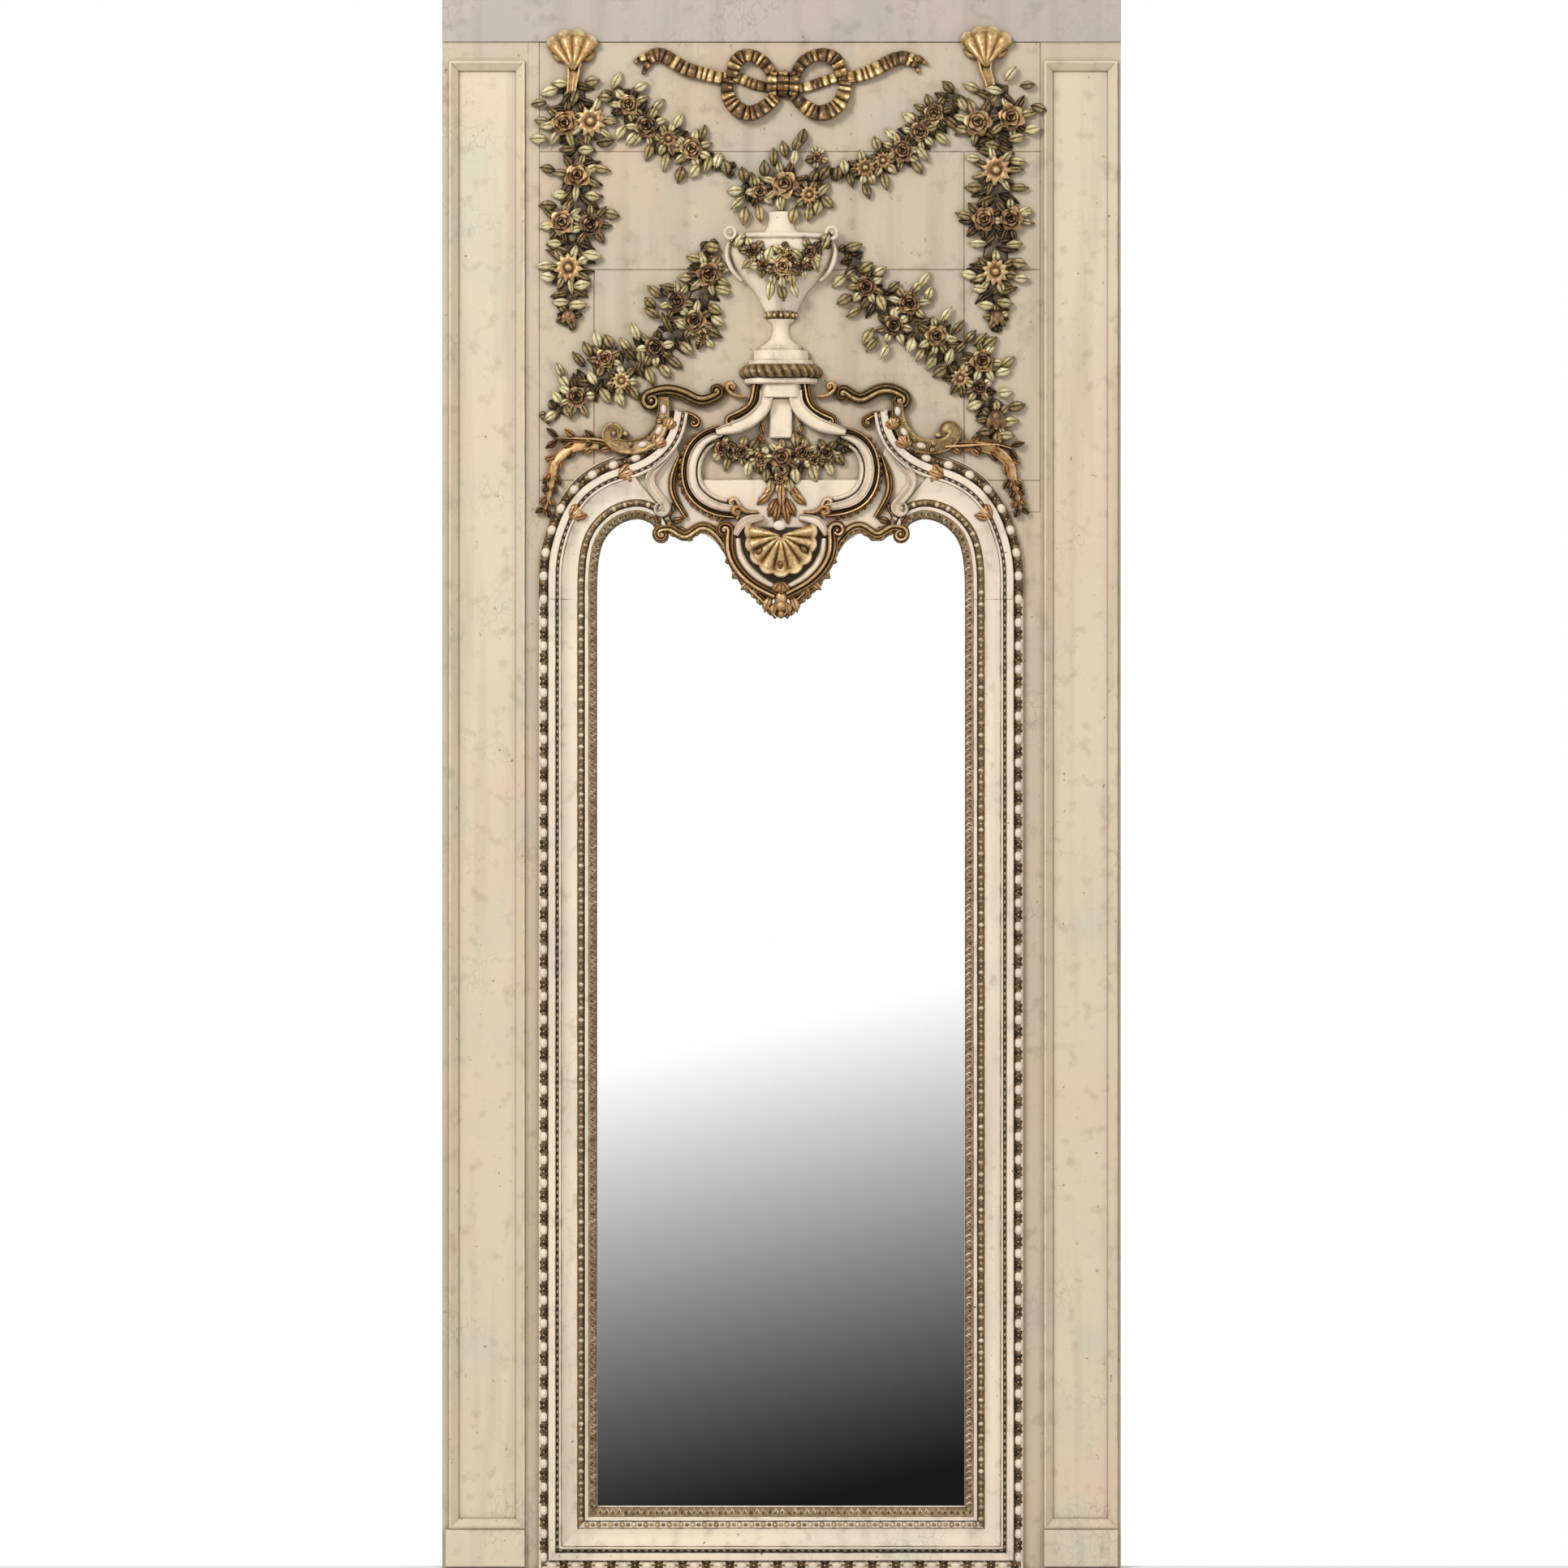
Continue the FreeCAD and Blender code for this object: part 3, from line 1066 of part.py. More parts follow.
def foliage():
    """Everything that is carved as flowers and leaves, and the bow that it hangs from."""
    pilaster_shell("left", (-86.6, 94.6), (-86.6, 90.6))
    pilaster_shell("right", (85, 95.4), (86.6, 91))
    bow()
    for side, parts in DROPS.items():
        hung(side + "_drop", parts, 8, (0.6, 1, 0.6, 1, 0.6, 0.3))
    for side, parts in TOP_SWAGS.items():
        hung(side + "_top_swag", parts, 6, (0.6, 1, 0.6, 0.2))
    hung("bouquet", BOUQUET, 4, (0.5, 1, 0.5))
    plant("urn_festoon", seated(garland(*FESTOON, pieces=6, share=0.85, lift=over_bowl), URN_SEAT))
    for side, parts in URN_GARLANDS.items():
        hung(side + "_urn_garland", parts, 8, (0.4, 1, 1, 0.5))
    swag = garland(*CREST_SWAG, pieces=6, taper=(0.5, 1, 1, 0.5))
    spray = [leaf(spot(*root), spot(*tip), 1.1) for root, tip in SPRAY]
    plant("crest_swag", seated(joined([swag] + spray), CREST_SEAT))


# ---------------------------------------------------------------- assembly and export
def fixed_shapes():
    """The flat-sided pieces that carvings are scribed to."""
    names = ("left_panel_moulding", "right_panel_moulding", "frieze_board", "left_jamb", "right_jamb")
    return [DOC.getObject(name).Shape for name in names]


def tops():
    """The sub-parts: every object that is no tool, base or sketch of another."""
    inner = set()
    for thing in DOC.Objects:
        if thing.TypeId == "Part::Cut":
            inner.update((thing.Base.Name, thing.Tool.Name))
    kinds = ("Part::Box", "Part::Cut", "PartDesign::Body", "Part::Feature")
    return [thing for thing in DOC.Objects if thing.TypeId in kinds and thing.Name not in inner]


def export():
    """Checks that every object recomputed and is sound, then writes one file for each sub-part."""
    DOC.recompute()
    failed = [thing.Name for thing in DOC.Objects
              if "Invalid" in thing.State or "Error" in thing.State]
    failed += [thing.Name for thing in tops() if thing.Shape.isNull() or not thing.Shape.isValid()]
    if failed:
        raise ValueError("not sound: " + ", ".join(failed))
    os.makedirs("parts", exist_ok=True)
    for thing in tops():
        thing.Shape.exportStep(f"parts/{thing.Label}.step")


carcass()
wall_hangers()
frame()
plate()
DOC.recompute()
PLANTED += fixed_shapes()
arched_head()
urn()
crest_pedestal()
for side, way in (("left", -1), ("right", 1)):
    s_scroll(side)
    c_scroll(side, way)
cartouche()
foliage()
export()
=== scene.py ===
import functools
import math

import bmesh
import bpy
import numpy as np
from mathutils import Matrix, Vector


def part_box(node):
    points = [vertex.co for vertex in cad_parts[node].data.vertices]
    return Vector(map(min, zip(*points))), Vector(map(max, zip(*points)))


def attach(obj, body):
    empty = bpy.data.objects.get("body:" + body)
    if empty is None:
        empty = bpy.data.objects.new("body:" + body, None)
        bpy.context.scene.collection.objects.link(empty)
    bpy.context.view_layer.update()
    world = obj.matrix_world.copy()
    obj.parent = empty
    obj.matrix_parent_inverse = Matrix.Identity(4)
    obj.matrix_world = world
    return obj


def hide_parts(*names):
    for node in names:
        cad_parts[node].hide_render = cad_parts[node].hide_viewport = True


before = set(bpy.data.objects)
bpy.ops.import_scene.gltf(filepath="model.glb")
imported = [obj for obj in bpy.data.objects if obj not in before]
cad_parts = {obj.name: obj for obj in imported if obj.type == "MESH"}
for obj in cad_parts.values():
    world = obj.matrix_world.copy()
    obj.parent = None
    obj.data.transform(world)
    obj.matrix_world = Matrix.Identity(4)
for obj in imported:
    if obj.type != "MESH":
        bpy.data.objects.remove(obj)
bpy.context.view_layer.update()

# A painted and parcel-gilt trumeau mirror: boarded panel, moulded frame, arched plate and a carved
# crown. Plain boards stay as modelled; mouldings, scrolls, urn, foliage and ribbon are made here.

RNG = np.random.default_rng(1775)
MM = 0.001

# ---------------------------------------------------------------- setting-out
PX = 1.4354 * MM          # one pixel of the photograph on the object
PHOTO_SIDE = 1932         # pixels along each side of the photograph
ZERO_COLUMN = 963.0       # pixel column of the frame's X = 0
ZERO_ROW = 1934.0         # pixel row of the frame's Z = 0
AXIS_COLUMN = 962.3       # pixel column of the carving's middle line
FIELD = -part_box("upper_field_board")[0].y
FRAME_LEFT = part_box("left_jamb")[0].x
FRAME_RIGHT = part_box("right_jamb")[1].x
MIDDLE = (FRAME_LEFT + FRAME_RIGHT) / 2
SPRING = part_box("left_jamb")[1].z
SILL_SHARE = 112 / 103    # the bottom rail's face against a jamb's


def at(px, py):
    """A point of the photograph as X and Z in metres."""
    return (px - ZERO_COLUMN) * PX, (ZERO_ROW - py) * PX


AXIS = at(AXIS_COLUMN, 0)[0]


def route(*pixels):
    return np.array([at(*point) for point in pixels])


def beside(side, *pixels):
    """Points given right of the middle line (side 1), or the same mirrored about it (side -1)."""
    return np.array([(AXIS + side * (px - AXIS_COLUMN) * PX, at(0, py)[1]) for px, py in pixels])


def faced(side, angle):
    return angle if side > 0 else math.pi - angle


def mirrored(line):
    """A line of the left jamb or arch carried to the right one."""
    return np.asarray(line) * (-1, 1) + (2 * MIDDLE, 0)


def length_of(line):
    return np.linalg.norm(np.diff(line, axis=0), axis=1).sum()


def distances(line):
    return np.r_[0, np.cumsum(np.linalg.norm(np.diff(line, axis=0), axis=1))]


def placed(line, run, places):
    return np.stack([np.interp(places, run, line[:, axis]) for axis in (0, 1)], 1)


def resampled(line, count):
    """The same line as evenly spaced points."""
    run = distances(line)
    return placed(line, run, np.linspace(0, run[-1], count))


def tapered(taper, count):
    """A list of shares spread evenly over a number of places."""
    return np.interp(np.linspace(0, 1, count), np.linspace(0, 1, len(taper)), taper)


def fair(points, count):
    """A fair curve through points: a natural spline on centripetal knots."""
    given = np.asarray(points, float)
    knots = np.r_[0, np.cumsum(np.linalg.norm(np.diff(given, axis=0), axis=1) ** 0.5)]
    gap = np.diff(knots)
    size = len(knots)
    matrix, right = np.eye(size), np.zeros((size, 2))
    for row in range(1, size - 1):
        matrix[row, row - 1:row + 2] = gap[row - 1], 2 * (gap[row - 1] + gap[row]), gap[row]
        right[row] = 6 * ((given[row + 1] - given[row]) / gap[row]
                          - (given[row] - given[row - 1]) / gap[row - 1])
    bend = np.linalg.solve(matrix, right)
    place = np.linspace(0, knots[-1], count * 6)
    span = np.clip(np.searchsorted(knots, place, "right") - 1, 0, size - 2)
    after, before = (knots[span + 1] - place)[:, None], (place - knots[span])[:, None]
    width = gap[span][:, None]
    dense = (bend[span] * after ** 3 + bend[span + 1] * before ** 3) / (6 * width)
    dense += (given[span] / width - bend[span] * width / 6) * after
    dense += (given[span + 1] / width - bend[span + 1] * width / 6) * before
    return resampled(dense, count)


def normals(line):
    """Unit vectors to the left of the way along a line."""
    along = np.gradient(line, axis=0)
    along /= np.linalg.norm(along, axis=1, keepdims=True)
    return np.stack([-along[:, 1], along[:, 0]], 1)


def offset(line, left):
    """The line moved to its left."""
    return line + normals(line) * left


def curled(line, radius, turns, way, count=26):
    """The line with a spiral at its end; way 1 curls to the left."""
    tail = line[-1] - line[-2]
    heading = math.atan2(tail[1], tail[0])
    centre = line[-1] + radius * np.array([-math.sin(heading), math.cos(heading)]) * way
    share = np.linspace(0, 1, count)[1:]
    angle = heading - way * math.pi / 2 + way * math.tau * turns * share
    reach = radius * (1 - 0.72 * share)
    spiral = centre + np.stack([np.cos(angle) * reach, np.sin(angle) * reach], 1)
    return np.vstack([line, spiral]), centre


# ---------------------------------------------------------------- mesh building
CREASE = math.radians(42)  # edges sharper than this stay sharp


def quads(rows, columns, wrap=False):
    """Four-cornered faces of a grid of points, closed round its columns if wanted."""
    first = np.arange(rows - 1)[:, None] * columns
    across = np.arange(columns if wrap else columns - 1)[None]
    near, far = first + across, first + (across + 1) % columns
    return np.stack([near, far, far + columns, near + columns], -1).reshape(-1, 4).tolist()


class Carving:
    """Closed solids gathered into one piece; points are X, Z and rise in front of the field."""

    def __init__(self):
        self.points, self.faces, self.worn, self.tone, self.size = [], [], [], [], 0

    def add(self, points, faces, worn, tone=0.5):
        points = np.asarray(points, float).reshape(-1, 3)
        self.points.append(points)
        self.faces += [[corner + self.size for corner in face] for face in faces]
        self.worn.append(np.broadcast_to(np.asarray(worn, float).ravel(), len(points)))
        self.tone.append(np.full(len(points), tone))
        self.size += len(points)

    def piece(self, name, material, slot, *nodes, sharp=False):
        points = np.vstack(self.points)
        mesh = bpy.data.meshes.new(name)
        mesh.from_pydata(np.stack([points[:, 0], -FIELD - points[:, 2], points[:, 1]], 1).tolist(),
                         [], self.faces)
        # The first attribute paints light into the gilding as well as wear: bright where high, dark
        # where low.
        for key, values in (("worn", self.worn), ("tone", self.tone)):
            attribute = mesh.attributes.new(key, "FLOAT", "POINT")
            attribute.data.foreach_set("value", np.concatenate(values).astype(np.float32))
        finished(mesh, name, material, nodes, sharp)


def linked(name, data):
    """A new object of the scene."""
    thing = bpy.data.objects.new(name, data)
    bpy.context.scene.collection.objects.link(thing)
    return thing


def finished(mesh, name, material, nodes, sharp):
    """Turns faces outwards, shades the mesh, and hands the piece to the frame."""
    work = bmesh.new()
    work.from_mesh(mesh)
    bmesh.ops.recalc_face_normals(work, faces=work.faces)
    work.to_mesh(mesh)
    work.free()
    mesh.validate()
    if sharp:
        mesh.shade_flat()
    else:
        mesh.shade_smooth()
        mesh.set_sharp_from_angle(angle=CREASE)
    mesh.materials.append(material)
    piece = linked(name, mesh)
    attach(piece, "root")
    if nodes:
        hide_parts(*nodes)


def sweep(into, line, section, half=1.0, high=1.0, base=0.0, tone=0.5, worn=None):
    """A section carried along a line; half and high may change on the way."""
    section = np.asarray(section, float)
    rows, columns = len(line), len(section)
    side = normals(line)
    half = np.broadcast_to(half, rows)[:, None]
    high = np.broadcast_to(high, rows)[:, None]
    base = np.broadcast_to(base, rows)[:, None]
    points = np.empty((rows, columns, 3))
    for axis in (0, 1):
        points[:, :, axis] = line[:, None, axis] + side[:, None, axis] * half * section[:, 0]
    points[:, :, 2] = base + high * section[:, 1]
    # By default the section's height paints light: its top brightest as highlight, its foot darkest
    # as shade.
    top = section[:, 1].max()
    fine = np.broadcast_to(section[:, 1] / top if worn is None else worn, (rows, columns))
    add_tube(into, points, fine, tone)


def add_tube(into, points, worn, tone=0.5):
    """A closed solid from open sections that start and end at their foot."""
    rows, columns = points.shape[:2]
    faces = quads(rows, columns, wrap=True)
    faces.append(list(range(columns)))
    faces.append([corner + (rows - 1) * columns for corner in range(columns)][::-1])
    into.add(points, faces, np.broadcast_to(worn, (rows, columns)), tone)


def add_slab(into, top, thickness, worn, tone=0.5):
    """A thin shell: a grid, the same grid lower down, and the rim between them."""
    rows, columns = top.shape[:2]
    low = top.copy()
    low[..., 2] -= thickness
    count = rows * columns
    faces = quads(rows, columns)
    faces += [[corner + count for corner in face[::-1]] for face in faces]
    grid = np.arange(count).reshape(rows, columns)
    rim = np.r_[grid[0, :-1], grid[:-1, -1], grid[-1, :0:-1], grid[:0:-1, 0]].tolist()
    faces += [[rim[i - 1], rim[i], rim[i] + count, rim[i - 1] + count] for i in range(len(rim))]
    worn = np.broadcast_to(worn, (rows, columns))
    # The whole underside is set darkest: painted shade under each shell.
    into.add(np.stack([top, low]), faces, np.stack([worn, worn * 0]), tone)


def add_dome(into, rings, peak, worn, tone=0.5):
    """Closed rings from the foot up to a peak."""
    count, columns = rings.shape[:2]
    faces = quads(count, columns, wrap=True)
    last, top = (count - 1) * columns, count * columns
    faces += [[last + i, last + (i + 1) % columns, top] for i in range(columns)]
    faces.append(list(range(columns))[::-1])
    worn = np.broadcast_to(np.asarray(worn, float)[:, None], (count, columns))
    # The peak is set brightest, as painted highlight.
    into.add(np.vstack([rings.reshape(-1, 3), [peak]]), faces, np.r_[worn.ravel(), 1.0], tone)


def ball(into, centre, rise, along, across, high, angle=0.0, tone=0.5, columns=12, rows=7):
    """An egg that lies on the carving, turned by an angle."""
    lift = np.linspace(-math.pi / 2, math.pi / 2, rows + 2)[1:-1]
    turn = np.linspace(0, math.tau, columns, endpoint=False)
    flat = np.cos(lift)[:, None]
    u, v = flat * np.cos(turn) * along, flat * np.sin(turn) * across
    points = np.stack([centre[0] + u * math.cos(angle) - v * math.sin(angle),
                       centre[1] + u * math.sin(angle) + v * math.cos(angle),
                       rise + np.sin(lift)[:, None] * high + u * 0], -1)
    # Painted light: each egg is dark at its foot and bright at its top.
    add_dome(into, points, (centre[0], centre[1], rise + high),
             np.clip(0.5 + 0.5 * np.sin(lift), 0, 1), tone)


def arc(start, end, bulge, count=8):
    """Points of a shallow arc in a section, from one corner to the next."""
    start, end = np.array(start, float), np.array(end, float)
    share = np.linspace(0, 1, count)[:, None]
    chord = end - start
    normal = np.array([-chord[1], chord[0]]) / np.linalg.norm(chord)
    return start + chord * share + normal * bulge * 4 * share * (1 - share)


# ---------------------------------------------------------------- materials
def node(tree, kind, inputs=None, **settings):
    """A shader node whose inputs are values or other nodes' sockets."""
    made = tree.nodes.new("ShaderNode" + kind)
    for key, value in settings.items():
        setattr(made, key, value)
    for key, value in (inputs or {}).items():
        if isinstance(value, bpy.types.NodeSocket):
            tree.links.new(value, made.inputs[key])
        else:
            made.inputs[key].default_value = value
    return made


def colour(red, green, blue):
    """A colour as it is seen, 0 to 255, in the linear values that a shader takes."""
    return tuple(((value / 255 + 0.055) / 1.055) ** 2.4 for value in (red, green, blue)) + (1.0,)


def blend(tree, share, low, high):
    """A mix of two colours."""
    return node(tree, "Mix", {0: share, 6: low, 7: high}, data_type="RGBA").outputs[2]


def multiply(tree, first, second):
    return node(tree, "Math", {0: first, 1: second}, operation="MULTIPLY").outputs[0]


def ramp(tree, value, low, high, out_low=0.0, out_high=1.0):
    """A value carried in a straight line, and clamped, from one range to another."""
    return node(tree, "MapRange", {"Value": value, "From Min": low, "From Max": high,
                                   "To Min": out_low, "To Max": out_high}).outputs[0]


def noise(tree, place, scale, detail=4.0, stretch=None):
    if stretch:
        place = node(tree, "Mapping", {"Vector": place, "Scale": stretch}).outputs[0]
    return node(tree, "TexNoise", {"Vector": place, "Scale": scale, "Detail": detail}).outputs[0]


def added(tree, first, second):
    return node(tree, "Math", {0: first, 1: second}, operation="ADD").outputs[0]


def started(name, roughness, metallic=0.0):
    """A new material, its node tree and shader, and the place on the object."""
    material = bpy.data.materials.new(name)
    material.use_nodes = True
    tree = material.node_tree
    shader = tree.nodes["Principled BSDF"]
    shader.inputs["Roughness"].default_value = roughness
    shader.inputs["Metallic"].default_value = metallic
    place = node(tree, "TexCoord").outputs["Object"]
    return material, tree, shader, place


def coated(tree, shader, shade, height, strength, depth):
    """Gives a shader its colour and its fine relief."""
    tree.links.new(shade, shader.inputs["Base Color"])
    bump = node(tree, "Bump", {"Height": height, "Strength": strength, "Distance": depth})
    tree.links.new(bump.outputs[0], shader.inputs["Normal"])


def cavity(tree, reach):
    """1 in corners and under carvings, 0 on open surfaces: the mask for painted shade."""
    shade = node(tree, "AmbientOcclusion", {"Distance": reach}, samples=6)
    return ramp(tree, shade.outputs["AO"], 0.85, 0.35)


def rubbed(tree, radius):
    """1 along outer corners of boards and mouldings."""
    soft = node(tree, "Bevel", {"Radius": radius}, samples=4)
    true = node(tree, "NewGeometry")
    facing = node(tree, "VectorMath", {0: soft.outputs[0], 1: true.outputs["Normal"]},
                  operation="DOT_PRODUCT")
    return ramp(tree, facing.outputs["Value"], 0.995, 0.9)


def painted(name, base, warm, cool, dirt_and_shade, crackle=0.3, shade_and_dirt_reach=14 * MM, edges=0.55):
    """Old paint on wood: cloudy patches, brush and grain streaks, crackle, rubbed edges, dirt, and
    painted shade in corners and under carvings.
    """
    base, warm, cool, dirt_and_shade = (colour(*tone) for tone in (base, warm, cool, dirt_and_shade))
    material, tree, shader, place = started(name, 0.6)
    shade = blend(tree, ramp(tree, noise(tree, place, 3.1, 5), 0.42, 0.66), base, warm)
    shade = blend(tree, ramp(tree, noise(tree, place, 6.3, 6), 0.5, 0.72), shade, cool)
    streak = noise(tree, place, 26, 5, (1, 1, 0.06))
    shade = blend(tree, ramp(tree, streak, 0.5, 0.78, 0, 0.28), shade, dirt_and_shade)
    blotch = noise(tree, place, 34, 6)
    shade = blend(tree, ramp(tree, blotch, 0.56, 0.74, 0, 0.3), shade, dirt_and_shade)
    swirl = node(tree, "TexNoise", {"Vector": place, "Scale": 22.0}).outputs["Color"]
    pushed = node(tree, "VectorMath", {0: swirl, 1: (0.04, 0.04, 0.04), 2: place},
                  operation="MULTIPLY_ADD")
    cells = node(tree, "Mapping", {"Vector": pushed.outputs[0], "Scale": (1, 1, 0.5)})
    edge = node(tree, "TexVoronoi", {"Vector": cells.outputs[0], "Scale": 62.0},
                feature="DISTANCE_TO_EDGE").outputs["Distance"]
    line = multiply(tree, ramp(tree, edge, 0.05, 0.01),
                    ramp(tree, noise(tree, place, 5.7, 4), 0.54, 0.7, 0, crackle))
    shade = blend(tree, line, shade, dirt_and_shade)
    chip = ramp(tree, noise(tree, place, 85, 3), 0.7, 0.76, 0, 0.8)
    shade = blend(tree, chip, shade, dirt_and_shade)
    rim = multiply(tree, rubbed(tree, 1.8 * MM), ramp(tree, blotch, 0.4, 0.6, 0.15, edges * 1.6))
    shade = blend(tree, rim, shade, dirt_and_shade)
    # Painted shade: ambient occlusion darkens corners and the field under carvings towards the dirt
    # colour.
    shade = blend(tree, multiply(tree, cavity(tree, shade_and_dirt_reach), 0.75), shade, dirt_and_shade)
    bare = blend(tree, ramp(tree, streak, 0.3, 0.7), colour(172, 146, 112), colour(130, 102, 72))
    facing = node(tree, "SeparateXYZ", {0: node(tree, "NewGeometry").outputs["Normal"]})
    shade = blend(tree, ramp(tree, facing.outputs["Y"], 0.8, 0.95), shade, bare)
    coated(tree, shader, shade, added(tree, streak, multiply(tree, line, -2.5)), 0.25, 0.8 * MM)
    return material


def gilded(name, stops, metallic, roughness, contrast=0.55, shade_and_dirt_reach=9 * MM):
    """Gilding with painted light: dark in the cuts as painted shade, bright on ridges as painted
    highlight and rubbed wear, and differing from leaf to leaf.
    """
    stops = [colour(*stop) for stop in stops]
    material, tree, shader, place = started(name, roughness, metallic)
    # This attribute paints light into the colour: raised, rubbed parts bright as painted highlight,
    # low parts dark as painted shade.
    worn = node(tree, "Attribute", attribute_name="worn").outputs["Fac"]
    tone = node(tree, "Attribute", attribute_name="tone").outputs["Fac"]
    grain = noise(tree, place, 160, 4)
    level = added(tree, multiply(tree, worn, contrast), ramp(tree, grain, 0.3, 0.7, -0.16, 0.16))
    level = added(tree, level, ramp(tree, tone, 0, 1, -0.2, 0.55))
    band = node(tree, "ValToRGB", {"Fac": level})
    band.color_ramp.elements[0].color = stops[0]
    band.color_ramp.elements[1].color = stops[-1]
    for index, stop in enumerate(stops[1:-1], 1):
        band.color_ramp.elements.new(index / (len(stops) - 1)).color = stop
    # Painted shade with dark patina: hollows and the undersides of overlapping carving darken to the
    # darkest stop.
    shade = blend(tree, multiply(tree, cavity(tree, shade_and_dirt_reach), 0.85), band.outputs[0], stops[0])
    coated(tree, shader, shade, grain, 0.3, 0.5 * MM)
    return material


def plain(name, first, second, roughness, metallic=0.0):
    """Bare wood or steel: two tones along a grain."""
    material, tree, shader, place = started(name, roughness, metallic)
    grain = noise(tree, place, 30, 6, (1, 1, 0.05))
    shade = blend(tree, ramp(tree, grain, 0.35, 0.68), colour(*first), colour(*second))
    coated(tree, shader, shade, grain, 0.2, 0.5 * MM)
    return material


CREAM = painted("old_cream", (214, 199, 172), (216, 193, 167), (203, 196, 172), (122, 96, 66))
FIELD_CREAM = painted("field_cream", (196, 180, 155), (200, 178, 152), (187, 176, 156),
                      (118, 94, 66))
CREAM_MOULD = painted("cream_mouldings", (233, 216, 191), (228, 208, 188), (216, 206, 184),
                      (96, 70, 44), 0.2, 5 * MM, 0.7)
GREY = painted("old_grey", (180, 168, 158), (186, 170, 160), (170, 162, 152), (112, 98, 82))
LEAF_GOLD = gilded("leaf_gilding", ((34, 25, 17), (78, 61, 40), (134, 111, 74), (194, 176, 124),
                                    (240, 230, 186)), 0.3, 0.38)
FLOWER_GOLD = gilded("flower_gilding", ((38, 25, 16), (84, 58, 36), (130, 94, 57), (180, 142, 92),
                                        (222, 192, 140)), 0.35, 0.4)
SCROLL_GOLD = gilded("scroll_gilding", ((36, 26, 17), (76, 58, 38), (122, 96, 60), (176, 144, 92),
                                        (226, 200, 148)), 0.35, 0.42)
WARM_GOLD = gilded("warm_gilding", ((48, 31, 18), (104, 74, 42), (152, 114, 66), (196, 158, 102),
                                    (236, 212, 164)), 0.35, 0.38)
RIBBON_GOLD = gilded("ribbon_gilding", ((28, 19, 12), (64, 45, 26), (114, 83, 47), (174, 137, 82),
                                        (232, 206, 142)), 0.4, 0.34, 0.9)
COURSE_GOLD = gilded("course_gilding", ((44, 32, 22), (92, 71, 48), (142, 117, 84),
                                        (190, 166, 130), (228, 212, 182)), 0.3, 0.42)
COPPER = gilded("copper_gilding", ((54, 36, 22), (116, 82, 50), (166, 120, 72), (204, 162, 108),
                                   (238, 212, 166)), 0.35, 0.38)
WOOD = plain("bare_wood", (150, 116, 78), (118, 86, 56), 0.7)
STEEL = plain("hanger_steel", (150, 148, 144), (118, 114, 108), 0.35, 1.0)


def mirror_material():
    """Silvered plate, a little foxed in spots."""
    material, tree, shader, place = started("silvered_glass", 0.015, 1.0)
    spots = ramp(tree, noise(tree, place, 60, 8), 0.74, 0.82, 0, 0.12)
    shade = blend(tree, spots, colour(255, 255, 255), colour(190, 180, 166))
    tree.links.new(shade, shader.inputs["Base Color"])
    return material


MIRROR = mirror_material()

# ---------------------------------------------------------------- carved units
TORUS = np.array([(-1, 0)] + [(x, 0.25 + 0.75 * math.sqrt(1 - x * x))
                              for x in np.linspace(-1, 1, 9)] + [(1, 0)])
HOLLOWED = np.array([(-1, 0), (-1, 0.55), (-0.86, 0.86), (-0.68, 0.9), (-0.5, 0.62), (-0.2, 0.5),
                     (0.2, 0.5), (0.5, 0.62), (0.68, 0.9), (0.86, 0.86), (1, 0.55), (1, 0)])
REEDED = np.array([(-1, 0), (-1, 0.5), (-0.9, 0.62), (-0.74, 0.52), (-0.66, 0.78), (-0.46, 1),
                   (-0.2, 0.98), (-0.02, 0.74), (0.08, 0.6), (0.2, 0.78), (0.4, 0.86), (0.56, 0.7),
                   (0.62, 0.5), (0.76, 0.62), (0.9, 0.56), (1, 0.36), (1, 0)])
FLUTED = np.array([(-1, 0), (-1, 0.7), (-0.9, 0.9), (-0.76, 0.86), (-0.66, 0.72), (-0.4, 0.74),
                   (0, 0.8), (0.4, 0.9), (0.62, 1), (0.84, 0.98), (0.98, 0.84), (1, 0)])


def leaf(into, root, angle, length, width, base, rise, roll=0.0, tone=0.5, lobes=0, curl=0.0):
    """A carved leaf: oval or lobed blade, sunk rib, raised sides, tip that lifts or droops."""
    rows, columns = (15, 9) if lobes else (9, 7)
    u = np.linspace(0, 1, rows)[:, None]
    v = np.linspace(-1, 1, columns)[None]
    wide = width / 2 * np.maximum(0.06, np.sin(math.pi * np.clip(u, 0.02, 0.98) ** 0.85) ** 0.85)
    if lobes:
        wide = wide * (0.78 + 0.3 * np.abs(np.sin(math.pi * lobes * u)) ** 0.6)
    across = wide * v
    along = u * length + (np.abs(v) ** 2) * wide * (0.35 if lobes else 0.1) * np.sin(math.pi * u)
    swell = np.sin(math.pi * np.clip(u * 0.9 + 0.08, 0, 1)) ** 0.6
    lift = rise * swell * (1 - 0.55 * np.abs(v) ** 1.8 - 0.3 * np.exp(-(v / 0.2) ** 2))
    if lobes:
        lift = lift * (0.86 + 0.14 * np.abs(np.sin(math.pi * lobes * (u + 0.18 * np.abs(v)))))
    lift = lift + curl * u ** 2 + roll * v * wide
    cos, sin = math.cos(angle), math.sin(angle)
    points = np.stack([root[0] + along * cos - across * sin, root[1] + along * sin + across * cos,
                       base + lift + along * 0], -1)
    # Painted light: raised sides bright as highlight with some rubbed wear; rib, root and outer
    # edges dark as painted shade.
    worn = np.clip(0.15 + 0.95 * swell * (1 - 0.7 * np.exp(-(v / 0.16) ** 2)) - 0.35 * (1 - u), 0,
                   1)
    add_slab(into, points, min(3 * MM, rise * 0.5), worn * (1 - 0.8 * np.abs(v) ** 4), tone)


